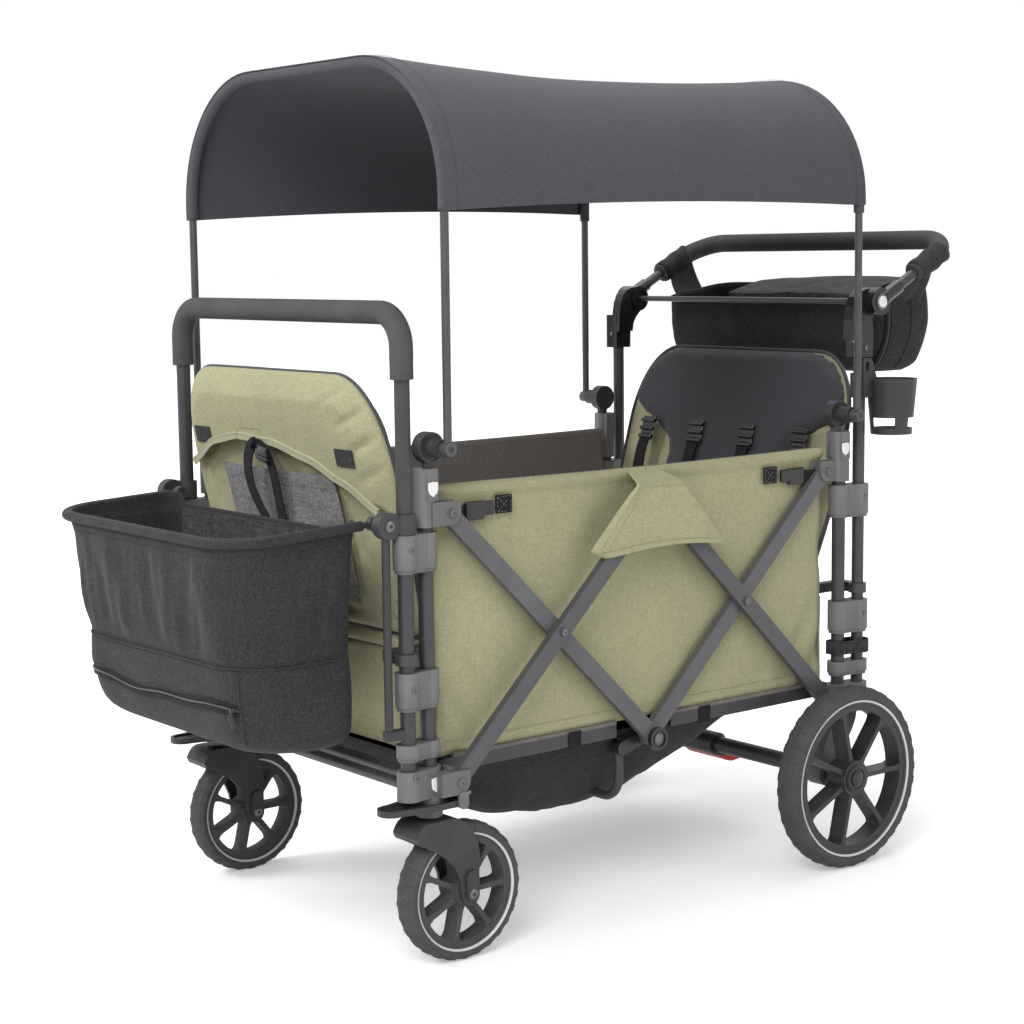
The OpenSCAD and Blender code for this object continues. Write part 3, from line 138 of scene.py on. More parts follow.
def frames_along(path, closed):
    """Tangent, side and up for each point of a path, turning as little as possible."""
    count = len(path)
    found = []
    up = None
    for i in range(count):
        before = path[i - 1] if i or closed else path[i]
        after = path[(i + 1) % count] if i < count - 1 or closed else path[i]
        tangent = (after - before).normalized()
        if up is None:
            guess = Vector((0, 0, 1)) if abs(tangent.z) < 0.9 else Vector((0, 1, 0))
            up = (guess - tangent * guess.dot(tangent)).normalized()
        else:
            up = (up - tangent * up.dot(tangent)).normalized()
        found.append((tangent, tangent.cross(up), up))
    return found


def tube(name, path, radius, material, sides=16, closed=False):
    """A round tube along points in mm; radius is one value in mm or one for each point."""
    path = [at(*p) for p in path]
    radii = radius if isinstance(radius, list) else [radius] * len(path)
    points = []
    for p, (tangent, side, up), r in zip(path, frames_along(path, closed), radii):
        for k in range(sides):
            turn = 2 * math.pi * k / sides
            points.append(p + (side * math.cos(turn) + up * math.sin(turn)) * r * MM)
    faces = quads(len(path), sides, closed=closed)
    if not closed:
        faces += ends(len(path), sides)
    return mesh_object(name, points, faces, material)


STRAP_SECTION = ((-1, -0.6), (-0.94, -1), (0.94, -1), (1, -0.6), (1, 0.6), (0.94, 1), (-0.94, 1), (-1, 0.6))


def strap(name, path, across, width, thickness, material):
    """Flat webbing along points in mm; across is the direction of its width."""
    path = [at(*p) for p in path]
    across = Vector(across).normalized()
    points = []
    for i, p in enumerate(path):
        tangent = (path[min(i + 1, len(path) - 1)] - path[max(i - 1, 0)]).normalized()
        wide = (across - tangent * across.dot(tangent)).normalized()
        lift = tangent.cross(wide)
        for a, b in STRAP_SECTION:
            points.append(p + wide * a * width / 2 * MM + lift * b * thickness / 2 * MM)
    size = (len(path), len(STRAP_SECTION))
    return mesh_object(name, points, ends(*size) + quads(*size), material, smooth=False)


def lathe(name, profile, centre, axis, material, steps=48, capped=True):
    """A turned piece: profile is radius and height pairs in mm along axis from centre."""
    turn = Vector((0, 0, 1)).rotation_difference(Vector(axis)).to_matrix()
    points = []
    for radius, height in profile:
        for k in range(steps):
            angle = 2 * math.pi * k / steps
            local = turn @ Vector((radius * math.cos(angle), radius * math.sin(angle), height))
            points.append(at(centre[0] + local.x, centre[1] + local.y, centre[2] + local.z))
    faces = ends(len(profile), steps) if capped else []
    made = mesh_object(name, points, faces + quads(len(profile), steps), material)
    modify(made, "EDGE_SPLIT", split_angle=math.radians(40))
    return settle(made)


def block(name, size, centre, material, bevel=1.5, turn=(0, 0, 0)):
    """A box with rounded edges; sizes in mm, turn in degrees."""
    work = bmesh.new()
    bmesh.ops.create_cube(work, size=1.0)
    bmesh.ops.scale(work, vec=Vector(size), verts=work.verts)
    bmesh.ops.bevel(work, geom=work.edges[:], offset=bevel, segments=3, affect="EDGES", profile=0.5)
    spin = Matrix.Rotation(math.radians(turn[2]), 3, "Z") @ Matrix.Rotation(math.radians(turn[1]), 3, "Y")
    spin = spin @ Matrix.Rotation(math.radians(turn[0]), 3, "X")
    points = [at(*(spin @ vert.co + Vector(centre))) for vert in work.verts]
    work.verts.index_update()
    faces = [tuple(v.index for v in f.verts) for f in work.faces]
    work.free()
    return mesh_object(name, points, faces, material, smooth=False)


def join(name, pieces):
    """One object from several, which keep their materials."""
    points = []
    faces = []
    materials = []
    slots = []
    shades = []
    for piece in pieces:
        start = len(points)
        points.extend(v.co.copy() for v in piece.data.vertices)
        for face in piece.data.polygons:
            faces.append(tuple(start + v for v in face.vertices))
            material = piece.data.materials[face.material_index]
            if material not in materials:
                materials.append(material)
            slots.append(materials.index(material))
            shades.append(face.use_smooth)
    mesh = bpy.data.meshes.new(name)
    mesh.from_pydata([tuple(p) for p in points], [], faces)
    for material in materials:
        mesh.materials.append(material)
    mesh.polygons.foreach_set("material_index", slots)
    mesh.polygons.foreach_set("use_smooth", shades)
    for piece in pieces:
        old = piece.data
        bpy.data.objects.remove(piece)
        bpy.data.meshes.remove(old)
    made = bpy.data.objects.new(name, mesh)
    bpy.context.scene.collection.objects.link(made)
    return made


def resample(path, step):
    """Points in mm every step mm along a path."""
    found = []
    path = [Vector(p) for p in path]
    left = 0.0
    for a, b in zip(path, path[1:]):
        length = (b - a).length
        run = left
        while run < length:
            found.append(a.lerp(b, run / length))
            run += step
        left = run - length
    return found


STITCH = 3.6
STITCH_GAP = 2.4
THREAD_R = 0.45


def stitches(name, path, material):
    """A row of separate thread stitches along a path in mm."""
    points = []
    faces = []
    walk = resample(path, STITCH + STITCH_GAP)
    for a, b in zip(walk, walk[1:]):
        reach = (b - a) * (STITCH / (STITCH + STITCH_GAP))
        along = reach.normalized()
        guess = Vector((0, 0, 1)) if abs(along.z) < 0.8 else Vector((1, 0, 0))
        up = (guess - along * guess.dot(along)).normalized()
        side = along.cross(up)
        faces += ends(4, 4, len(points)) + quads(4, 4, start=len(points))
        for t, size in ((0.0, 0.4), (0.25, 1.0), (0.75, 1.0), (1.0, 0.4)):
            for u, v in ((1, 0), (0, 1), (-1, 0), (0, -1)):
                points.append(at(*(a + reach * t + (side * u + up * v) * THREAD_R * size)))
    return mesh_object(name, points, faces, material)


def sewn_rows(name, rows, material):
    """Several rows of stitches as one object."""
    return join(name, [stitches("row", row, material) for row in rows])


def dress(made, body, replaced=()):
    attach(made, body)
    if replaced:
        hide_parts(*replaced)
    return made


# Materials

def new_material(name):
    material = bpy.data.materials.new(name)
    material.use_nodes = True
    tree = material.node_tree
    return material, tree, tree.nodes["Principled BSDF"]


def add_node(tree, kind, **values):
    node = tree.nodes.new(kind)
    for key, value in values.items():
        setattr(node, key, value)
    return node


def noise_node(tree, place, scale, detail=3.0):
    node = add_node(tree, "ShaderNodeTexNoise")
    node.inputs["Scale"].default_value = scale
    node.inputs["Detail"].default_value = detail
    tree.links.new(place, node.inputs["Vector"])
    return node.outputs["Fac"]


def blend_colours(tree, share, first, second):
    node = add_node(tree, "ShaderNodeMix", data_type="RGBA")
    tree.links.new(share, node.inputs["Factor"])
    node.inputs["A"].default_value = (*first, 1)
    node.inputs["B"].default_value = (*second, 1)
    return node.outputs["Result"]


def ramp(tree, value, low_end, high_end, low_value, high_value):
    node = add_node(tree, "ShaderNodeMapRange")
    node.inputs["From Min"].default_value = low_end
    node.inputs["From Max"].default_value = high_end
    node.inputs["To Min"].default_value = low_value
    node.inputs["To Max"].default_value = high_value
    tree.links.new(value, node.inputs["Value"])
    return node.outputs["Result"]


def math_node(tree, operation, first, second):
    node = add_node(tree, "ShaderNodeMath", operation=operation)
    for socket, value in zip(node.inputs, (first, second)):
        if isinstance(value, (int, float)):
            socket.default_value = value
        else:
            tree.links.new(value, socket)
    return node.outputs["Value"]


def add_up(tree, first, first_share, second, second_share):
    """Two values added in given shares."""
    first = math_node(tree, "MULTIPLY", first, first_share)
    return math_node(tree, "ADD", first, math_node(tree, "MULTIPLY", second, second_share))


def set_bump(tree, shader, height, strength, distance):
    node = add_node(tree, "ShaderNodeBump")
    node.inputs["Strength"].default_value = strength
    node.inputs["Distance"].default_value = distance
    tree.links.new(height, node.inputs["Height"])
    tree.links.new(node.outputs["Normal"], shader.inputs["Normal"])


def tint(colour, factor):
    return tuple(min(1.0, c * factor) for c in colour)


def solid_material(name, colour, rough, metal=0.0, grain=900.0, bump=0.1, mottle=0.12, wear=0.0, shine=0.3):
    """Moulded plastic, powder coat, foam or rubber: fine grain, slow mottling and worn edges."""
    material, tree, shader = new_material(name)
    place = add_node(tree, "ShaderNodeTexCoord").outputs["Object"]
    fine = noise_node(tree, place, grain)
    slow = noise_node(tree, place, 22.0)
    share = ramp(tree, add_up(tree, fine, 0.5, slow, 0.5), 0.35, 0.65, 0.0, 1.0)
    colours = blend_colours(tree, share, tint(colour, 1 - mottle), tint(colour, 1 + mottle))
    if wear:
        edge = add_node(tree, "ShaderNodeNewGeometry").outputs["Pointiness"]
        worn = math_node(tree, "MULTIPLY", ramp(tree, edge, 0.53, 0.6, 0.0, wear), slow)
        top = add_node(tree, "ShaderNodeMix", data_type="RGBA")
        tree.links.new(worn, top.inputs["Factor"])
        tree.links.new(colours, top.inputs["A"])
        top.inputs["B"].default_value = (*tint(colour, 2.6), 1)
        colours = top.outputs["Result"]
    tree.links.new(colours, shader.inputs["Base Color"])
    tree.links.new(ramp(tree, slow, 0.3, 0.7, rough - 0.06, rough + 0.06), shader.inputs["Roughness"])
    shader.inputs["Metallic"].default_value = metal
    shader.inputs["Specular IOR Level"].default_value = shine
    set_bump(tree, shader, fine, bump, 0.0006)
    return material


def thread_noise(tree, place, scales):
    """Noise drawn out along one direction, like parallel yarns."""
    node = add_node(tree, "ShaderNodeMapping")
    node.inputs["Scale"].default_value = scales
    tree.links.new(place, node.inputs["Vector"])
    return noise_node(tree, node.outputs["Vector"], 1.0, 1.0)


def cloth_material(name, colour, pitch=1.5, contrast=0.2, bump=0.35, sheen=0.25, heather=0.12):
    """Woven cloth: uneven yarns in all three directions, heathering and slow fading."""
    material, tree, shader = new_material(name)
    place = add_node(tree, "ShaderNodeTexCoord").outputs["Object"]
    fine = 0.8 / (pitch * MM)
    coarse = fine * 0.14
    threads = None
    for scales in ((fine, fine, coarse), (fine, coarse, fine), (coarse, fine, fine)):
        value = thread_noise(tree, place, scales)
        threads = value if threads is None else math_node(tree, "ADD", threads, value)
    yarn = noise_node(tree, place, 420.0, 2.0)
    slow = noise_node(tree, place, 9.0)
    woven = ramp(tree, threads, 1.1, 1.9, 0.0, 1.0)
    base = blend_colours(tree, woven, tint(colour, 1 - contrast), tint(colour, 1 + contrast))
    mixed = add_node(tree, "ShaderNodeMix", data_type="RGBA", blend_type="MULTIPLY")
    mixed.inputs["Factor"].default_value = 1.0
    tree.links.new(base, mixed.inputs["A"])
    grey = ramp(tree, add_up(tree, yarn, 0.7, slow, 0.3), 0.3, 0.7, 1 - heather, 1 + heather)
    tree.links.new(grey, mixed.inputs["B"])
    tree.links.new(mixed.outputs["Result"], shader.inputs["Base Color"])
    shader.inputs["Roughness"].default_value = 0.85
    shader.inputs["Specular IOR Level"].default_value = 0.12
    shader.inputs["Sheen Weight"].default_value = sheen
    shader.inputs["Sheen Roughness"].default_value = 0.5
    height = math_node(tree, "ADD", woven, math_node(tree, "MULTIPLY", yarn, 0.6))
    set_bump(tree, shader, height, bump, 0.0005)
    return material


GREEN = (0.36, 0.347, 0.21)
GREY = (0.075, 0.077, 0.086)
tube_finish = solid_material("powder_coat", (0.046, 0.046, 0.05), 0.42, 0.2, grain=1400, bump=0.12, wear=0.2)
rod_finish = solid_material("rod_coat", (0.07, 0.071, 0.075), 0.36, 0.3, grain=1400, bump=0.08, wear=0.2)
arm_finish = solid_material("arm_coat", (0.085, 0.085, 0.09), 0.48, 0.1, grain=1200, bump=0.12, wear=0.3)
moulding = solid_material("moulding", (0.036, 0.036, 0.039), 0.5, grain=1600, bump=0.16, wear=0.25)
# A lighter copy of the dark moulding plastic: painted light, as the sleeves and brackets look where the lamps
# fall on them
lit_moulding_finish = solid_material("moulding_painted_lit", (0.13, 0.13, 0.132), 0.5, grain=1600, bump=0.16, wear=0.25)
gloss_moulding = solid_material("gloss_moulding", (0.014, 0.014, 0.015), 0.28, bump=0.05, wear=0.1, shine=0.4)
foam_finish = solid_material("foam", (0.08, 0.077, 0.076), 0.88, grain=700, bump=0.3, mottle=0.2, shine=0.15)
RUBBER = (0.075, 0.071, 0.075)
rubber_finish = solid_material("rubber", RUBBER, 0.72, grain=800, bump=0.3, mottle=0.2, shine=0.2)
wheel_finish = solid_material("wheel_plastic", (0.03, 0.03, 0.033), 0.45, grain=1200, bump=0.12, wear=0.2)
ring_finish = solid_material("pale_ring", (0.62, 0.63, 0.65), 0.55, grain=600, bump=0.05, mottle=0.05)
reflector = solid_material("reflector", (0.8, 0.8, 0.8), 0.2, grain=500, bump=0.3, mottle=0.05)
button_finish = solid_material("button", (0.75, 0.75, 0.75), 0.25, 0.2, grain=600, bump=0.03, mottle=0.04)
steel = solid_material("rivet_steel", (0.13, 0.13, 0.135), 0.32, 0.8, bump=0.05)
green_cloth = cloth_material("green_cloth", GREEN, contrast=0.12, sheen=0.1)
grey_cloth = cloth_material("canopy_cloth", GREY, pitch=1.2, contrast=0.14, heather=0.08, sheen=0.05)
lining_cloth = cloth_material("lining_cloth", (0.17, 0.154, 0.145), pitch=1.4, contrast=0.18, sheen=0.1)
pad_cloth = cloth_material("pad_cloth", (0.06, 0.059, 0.067), pitch=1.0, contrast=0.12, sheen=0.15)
BLACK = (0.037, 0.034, 0.036)
black_cloth = cloth_material("black_cloth", BLACK, pitch=1.6, contrast=0.35, heather=0.3, sheen=0.06)
webbing = cloth_material("webbing", (0.016, 0.016, 0.018), 2.2, contrast=0.35, bump=0.6, sheen=0.05)
TAPE = (0.04, 0.039, 0.044)
velcro = cloth_material("hook_tape", TAPE, pitch=1.8, contrast=0.5, bump=0.8, heather=0.4, sheen=0.05)
POCKET = (0.2, 0.196, 0.2)
pocket_cloth = cloth_material("pocket_cloth", POCKET, pitch=2.0, contrast=0.4, heather=0.5, sheen=0.1)
MESH = (0.05, 0.047, 0.05)
mesh_cloth = cloth_material("mesh_cloth", MESH, pitch=3.0, contrast=0.5, bump=0.6, heather=0.45, sheen=0.1)
green_thread = cloth_material("green_thread", (0.26, 0.255, 0.15), pitch=0.8)
dark_thread = cloth_material("dark_thread", (0.05, 0.05, 0.053), pitch=0.8, sheen=0.05)
pale_thread = cloth_material("pale_thread", (0.25, 0.25, 0.25), pitch=0.8)
pale_binding = cloth_material("pale_binding", (0.4, 0.385, 0.25), pitch=1.0, contrast=0.1)


def tipped_material(name, colour, tip_colour, edge_z):
    """Dark plastic whose lower part has another colour."""
    material = solid_material(name, colour, 0.4)
    tree = material.node_tree
    shader = tree.nodes["Principled BSDF"]
    place = add_node(tree, "ShaderNodeSeparateXYZ")
    tree.links.new(add_node(tree, "ShaderNodeTexCoord").outputs["Object"], place.inputs["Vector"])
    mixed = add_node(tree, "ShaderNodeMix", data_type="RGBA")
    tree.links.new(ramp(tree, place.outputs["Z"], edge_z, edge_z + 0.001, 1.0, 0.0), mixed.inputs["Factor"])
    tree.links.new(shader.inputs["Base Color"].links[0].from_socket, mixed.inputs["A"])
    mixed.inputs["B"].default_value = (*tip_colour, 1)
    tree.links.new(mixed.outputs["Result"], shader.inputs["Base Color"])
    return material


BRAKE_EDGE = 127 * MM
brake_finish = tipped_material("brake_plastic", (0.03, 0.03, 0.032), (0.55, 0.03, 0.025), BRAKE_EDGE)

NODE_FINISH = {
    tube_finish: ["rear_uprights", "rear_axle_beam", "rear_cross_bar", "rear_seat_rod", "push_handle_tube",
                  "rear_posts", "front_posts", "centre_foot_bar", "rear_floor_rails", "front_floor_rails",
                  "front_handle_tube", "front_cross_bars", "front_seat_rod", "basket_bow"],
    rod_finish: ["rear_bow", "front_bow", "handle_stretcher"],
    arm_finish: ["rear_arms_low", "rear_arms_high", "front_arms_low", "front_arms_high"],
    moulding: ["cup_holder", "rear_bow_hubs", "front_bow_hubs", "basket_mounts",
               "caster_fork_left", "caster_fork_right", "lock_pedal_left", "lock_pedal_right"],
    # Sleeves and brackets get the moulding's lighter copy, which is painted light
    lit_moulding_finish: ["rear_sleeves", "front_sleeves", "rear_corner_brackets", "front_corner_brackets",
                    "rear_post_brackets", "front_post_brackets"],
    gloss_moulding: ["handle_housings", "push_handle_knuckles", "centre_hubs"],
    foam_finish: ["push_handle_grip", "front_handle_grip"],
    rubber_finish: ["rear_tyre_left", "rear_tyre_right", "caster_wheel_left", "caster_wheel_right"],
    wheel_finish: ["rear_wheel_left", "rear_wheel_right"],
    brake_finish: ["brake_pedal"],
    button_finish: ["button_left", "button_right"],
    lining_cloth: ["rear_floor_board", "front_floor_board"],
}
for finish, names in NODE_FINISH.items():
    for name in names:
        nodes[name].data.materials.clear()
        nodes[name].data.materials.append(finish)


# Tub

TUB_X = 277
TUB_Y = 404
TUB_LOW = 297
RIM_Z = 690
END_TOP = 441


def with_fold(made):
    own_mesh(made)
    return made


def wall_depth(side, y, z):
    """How far the cloth wall lies inside its flat plane."""
    up = (z - TUB_LOW) / (RIM_Z - TUB_LOW)
    calm = math.sin(math.pi * min(1, max(0, up))) ** 0.7
    folds = 2.6 * wave((y * 1.6, z * 0.45, 0), 90, 3 + side) + 1.4 * wave((y, z, 0), 38, 7 - side)
    corner = max(0.0, (abs(y) - 300) / 104)
    drawn = 2.4 * corner * math.sin(z / 21 + 2 * side)
    low_corner = math.exp(-((abs(y) - 380) / 70) ** 2 - ((z - 345) / 80) ** 2)
    puckers = 4.5 * low_corner * math.sin((0.7 * z - 1.1 * abs(y)) / 11)
    return max(0.0, 2.6 + calm * (folds + 1.0) + corner * drawn + puckers)


def rim_swell(z):
    """The rolled hem stands out at the top."""
    return 9 * smooth_step((z - 668) / 12) * (1 - 0.75 * smooth_step((z - 681) / 10))


def rim_lift(share, z):
    """How far the hem hangs between the corners, at a share of the tub's length."""
    return 3 * math.sin(math.pi * share) * smooth_step((z - 600) / 80)


def tub_side(name, side, inset, material, thickness):
    heights = [TUB_LOW + (RIM_Z - TUB_LOW) * (k / 44) for k in range(45)]
    rows = []
    for z in heights:
        row = []
        for k in range(81):
            y = -TUB_Y + 6 + 2 * (TUB_Y - 6) * k / 80
            lift = rim_lift(k / 80, z)
            x = TUB_X - inset - wall_depth(side, y, z) + (rim_swell(z) if inset < 2 else 0)
            row.append((side * x, y, z - lift))
        rows.append(row)
    return thicken(grid(name, rows, material), thickness)


def tub_end(name, end, inset, material, thickness):
    rows = []
    for i in range(15):
        z = TUB_LOW + (END_TOP - TUB_LOW) * i / 14
        row = []
        for k in range(41):
            x = -TUB_X + 4 + 2 * (TUB_X - 4) * k / 40
            y = end * (TUB_Y - 2 - inset - 3 * abs(wave((x, 0, z), 70, 5 + end)))
            row.append((x, y, z))
        rows.append(row)
    return thicken(grid(name, rows, material), thickness)


def tub_walls(name, side_inset, end_inset, material, thickness, more=()):
    """Both sides and both low ends of the tub as one object."""
    pieces = [tub_side("side", side, side_inset, material, thickness) for side in SIDES]
    pieces += [tub_end("end", end, end_inset, material, thickness) for end in (-1, 1)]
    return join(name, pieces + list(more))


outer = tub_walls("tub_outer", 0, 0, green_cloth, 1.4)
dress(outer, "rear_frame", ["tub"])
with_fold(outer)


def tub_floor():
    rows = []
    for i in range(41):
        y = -TUB_Y + 8 + 2 * (TUB_Y - 8) * i / 40
        row = []
        for k in range(31):
            x = -TUB_X + 8 + 2 * (TUB_X - 8) * k / 30
            quilt = 1.6 * abs(math.sin(math.pi * y / 134)) ** 0.5
            row.append((x, y, 299.6 + quilt + 0.7 * wave((x, y, 0), 60, 9)))
        rows.append(row)
    return thicken(grid("floor", rows, lining_cloth), 1.2)


lining = tub_walls("tub_lining", 3.4, 4, lining_cloth, 1.2, [tub_floor()])
dress(lining, "rear_frame")
with_fold(lining)


# Canopy

BOW_X = 338
BOW_R = 190
BOW_TOP = 1284
BOW_Y = 416
BEND_STEPS = 20
HEM_Z = 1077
SAG = 18


def arch_path(low_z):
    """The bow's line from the left hem over the top to the right one: x, z, normal x, normal z."""
    corner = BOW_X - BOW_R
    found = [(BOW_X, low_z + (BOW_TOP - BOW_R - low_z) * k / 3, 1.0, 0.0) for k in range(3)]
    for k in range(BEND_STEPS + 1):
        turn = math.pi / 2 * k / BEND_STEPS
        across = math.cos(turn)
        rise = math.sin(turn)
        found.append((corner + BOW_R * across, BOW_TOP - BOW_R + BOW_R * rise, across, rise))
    found += [(corner * (1 - k / 8), BOW_TOP, 0.0, 1.0) for k in range(1, 9)]
    return found + [(-x, z, -nx, nz) for x, z, nx, nz in found[-2::-1]]


def canopy_row(y, lift):
    slack = max(0.0, 1 - (abs(y) / (BOW_Y - 10)) ** 2)
    row = []
    path = arch_path(HEM_Z + 6 * y / BOW_Y)
    for k, (x, z, nx, nz) in enumerate(path):
        edge = min(k, len(path) - 1 - k)
        hem = 9 * slack * max(0.0, 1 - edge / 4)
        ripple = 2.2 * slack * wave((x, y * 0.6, z), 120, 2)
        out = 7.2 + lift + ripple
        row.append((x + nx * (out - SAG * 0.8 * slack), y, z + nz * (out - SAG * slack) + hem))
    return row


def canopy_half(name, end):
    places = [0, 1, 4] + [(BOW_Y + 7) * k / 30 for k in range(1, 31)]
    rows = [canopy_row(end * y, 0) for y in places]
    return thicken(grid(name, rows, grey_cloth), 1.2, 1.0)


for end, name, node, bow, slider, swing, swung in (
    (-1, "canopy_front", "canopy_front_cloth", "front_canopy_bow", "front_slider", "front_canopy_swing", 80),
    (1, "canopy_rear", "canopy_rear_cloth", "rear_canopy_bow", "rear_slider", "rear_canopy_swing", 56),
):
    # The cloth rides on its slider, and its sleeve on its bow
    half = dress(canopy_half(name, end), slider, [node])
    bow_line = [(x, end * BOW_Y, z) for x, z, nx, nz in arch_path(HEM_Z - 6)]
    dress(tube(name + "_sleeve", bow_line, 8.6, grey_cloth, 14), bow)
    seam_path = [(p[0] * 1.004, p[1], p[2] + 1.0) for p in canopy_row(end * (BOW_Y - 16), 1.6)]
    seam = dress(stitches(name + "_seam", seam_path, dark_thread), slider)
    for made in (half, seam):
        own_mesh(made)


# Closed forms from outlines

def even_loop(points, count, rounds=0):
    """A closed loop of evenly spaced flat points, with its corners rounded off."""
    points = [Vector(p) for p in points]
    sizes = [(b - a).length for a, b in zip(points, points[1:] + points[:1])]
    total = sum(sizes)
    found = []
    index = 0
    run = 0.0
    for k in range(count):
        goal = total * k / count
        while run + sizes[index] < goal:
            run += sizes[index]
            index += 1
        a = points[index]
        b = points[(index + 1) % len(points)]
        found.append(a.lerp(b, (goal - run) / sizes[index]))
    for _ in range(rounds):
        found = [(found[k - 1] + found[k] * 2 + found[(k + 1) % count]) / 4 for k in range(count)]
    return found


def outward(loop):
    """The outward direction at each point of a counter-clockwise flat loop."""
    count = len(loop)
    found = []
    for k in range(count):
        run = loop[(k + 1) % count] - loop[k - 1]
        found.append(Vector((run.y, -run.x)).normalized())
    return found


def drawn_in(loop, inset):
    """A flat loop moved inwards by a distance."""
    return [p - n * inset for p, n in zip(loop, outward(loop))]


def loft(name, rings, material):
    """A closed form through rings of points in mm, capped at both ends."""
    size = (len(rings), len(rings[0]))
    points = [at(*p) for ring in rings for p in ring]
    return mesh_object(name, points, ends(*size) + quads(*size), material)


PAD_VOXEL = 0.005
PAD_PRESSURE = 4.0
PAD_FRAMES = 20


def inflate(made, cap):
    """Swells a pad with Blender's cloth, no point moving further than cap in mm."""
    modify(made, "REMESH", mode="VOXEL", voxel_size=PAD_VOXEL, use_smooth_shade=True)
    settle(made)
    rest = [v.co.copy() for v in made.data.vertices]
    cloth = made.modifiers.new("cloth", "CLOTH")
    cloth.settings.quality = 4
    cloth.settings.use_pressure = True
    cloth.settings.uniform_pressure_force = PAD_PRESSURE
    cloth.settings.effector_weights.gravity = 0
    scene = bpy.context.scene
    for step in range(1, PAD_FRAMES + 1):
        scene.frame_set(step)
    view = bpy.context.evaluated_depsgraph_get()
    swollen = [v.co.copy() for v in made.evaluated_get(view).data.vertices]
    made.modifiers.clear()
    scene.frame_set(1)
    for vert, old, new in zip(made.data.vertices, rest, swollen):
        move = new - old
        if move.length > cap * MM:
            move = move.normalized() * cap * MM
        vert.co = old + move
    modify(made, "SMOOTH", factor=0.5, iterations=4)
    modify(made, "SUBSURF", levels=1, render_levels=1)
    return settle(made)


# Flaps over the upper middle pivots

FLAP_TOP = 685
FLAP_DROP = 124


def flap_point(side, s, t, off=0.0):
    """A point on a flap: s runs down from the rim, t from the front edge to the rear one."""
    left = -34 - 109 * min(1.0, s / 0.9) + 27 * max(0.0, (s - 0.9) / 0.1)
    right = 24 + 114 * s
    y = left + (right - left) * t
    z = FLAP_TOP - FLAP_DROP * s + 9 * s * math.sin(math.pi * t)
    turned = 7 * (max(0.0, 1 - t / 0.05) ** 2 + max(0.0, 1 - (1 - t) / 0.05) ** 2)
    x = 286 + 42 * smooth_step(s / 0.17) - turned * smooth_step(s / 0.3)
    x += 2.4 * smooth_step(s / 0.4) * wave((y, z, 0), 55, 4) + off
    return (side * x, y, z)


for side, name in ((1, "flap_left"), (-1, "flap_right")):
    rows = [[flap_point(side, i / 30, k / 44) for k in range(45)] for i in range(31)]
    flap = thicken(grid(name, rows, green_cloth), 1.6)
    dress(flap, "rear_frame", ["hinge_flaps"] if side > 0 else ())
    with_fold(flap)
    rows = [[flap_point(side, 0.03 + 0.93 * k / 60, t, 1.2) for k in range(61)] for t in (0.05, 0.12)]
    rows += [[flap_point(side, s, 0.04 + 0.92 * k / 80, 1.2) for k in range(81)] for s in (0.93, 0.2)]
    with_fold(dress(sewn_rows(name + "_stitches", rows, green_thread), "rear_frame"))


# Sling under the floor

def sling_point(u, v):
    """A point on the sling: u runs across it, v from its front end to its rear one."""
    deep = 146 * math.sin(math.pi * v) ** 0.5 * (1 - 0.08 * v) if 0 < v < 1 else 0.0
    x = 260.5 * u
    y = 600 * v - 372
    fold = 5 * wave((x * 0.5, y, 0), 60, 6) + 3 * wave((x, y, 0), 26, 8)
    calm = min(1.0, 6 * v, 6 * (1 - v), 5 * (1 - abs(u)))
    return (x, y, 279 - deep * (1 - abs(u) ** 6) + calm * fold)


rows = [[sling_point(-1 + i / 30, k / 70) for k in range(71)] for i in range(61)]
sling = thicken(grid("sling", rows, black_cloth), 2.0)
dress(sling, "rear_frame", ["under_sling"])
with_fold(sling)


# Seat backs

SEAT_BODY = {-1: "front_seat", 1: "rear_seat"}
SEAT_NODE = {-1: "front_seat_back", 1: "rear_seat_back"}
SEAT_LEAN = {-1: 13, 1: 16}
SEAT_EDGE = 268
SEAT_BEVEL = 36
SEAT_BORDER = 44
SEAT_TOP = 405
SEAT_PIVOT_Y = 398
SEAT_PIVOT_Z = 452
ARCH_LINE = [(-290, 218), (-240, 256), (-170, 292), (-95, 305), (0, 300),
             (90, 280), (170, 250), (250, 211), (290, 186)]
PULL_LINE = [(-22, -24, 118), (-44, -33, 170), (-62, -38, 225), (-60, -37, 268), (-40, -34, 296),
             (-14, -32, 292), (-4, -31, 262), (-6, -30, 215), (-14, -27, 165), (-18, -24, 118)]


def seat_at(end, x, depth, h):
    """A place on a seat back: across, towards the sitter and up along it from its hinge."""
    lean = math.radians(SEAT_LEAN[end])
    y = depth * math.cos(lean) - h * math.sin(lean)
    z = SEAT_PIVOT_Z + depth * math.sin(lean) + h * math.cos(lean)
    return (-end * x, end * (SEAT_PIVOT_Y - y), z)


def seat_flat(end, p, depth):
    """A place on a seat back from a point of a flat outline."""
    return seat_at(end, p.x, depth, p.y)


def seat_half(h):
    """Half the shell's width at a height: a little narrower below and rounded at the top."""
    v = (h - 16) / (SEAT_TOP - 16)
    if v < 0.45:
        return SEAT_EDGE * (0.93 + 0.07 * math.sin(math.radians(200 * v)))
    if v < 0.62:
        return SEAT_EDGE
    corner = min(1.0, (v - 0.62) / 0.38)
    return SEAT_EDGE * (0.64 + 0.36 * math.sqrt(1 - corner ** 2.2))


def pad_half(h):
    """The pad is as wide as the shell at the shoulders and drawn in below them."""
    waist = 150 + 30 * smooth_step((200 - h) / 150)
    return waist + (seat_half(min(h, SEAT_TOP)) + 1.5 - waist) * smooth_step((h - 212) / 105)


def upright_loop(half_of, low_h, high_h, count, rounds):
    heights = [low_h + (high_h - low_h) * k / 60 for k in range(61)]
    right = [(half_of(h), h) for h in heights]
    return even_loop(right + [(-x, h) for x, h in reversed(right)], count, rounds)


def arch_height(x):
    for (x0, h0), (x1, h1) in zip(ARCH_LINE, ARCH_LINE[1:]):
        if x0 <= x <= x1:
            share = (x - x0) / (x1 - x0)
            return h0 + (h1 - h0) * (0.4 * smooth_step(share) + 0.6 * share)
    return ARCH_LINE[0][1]


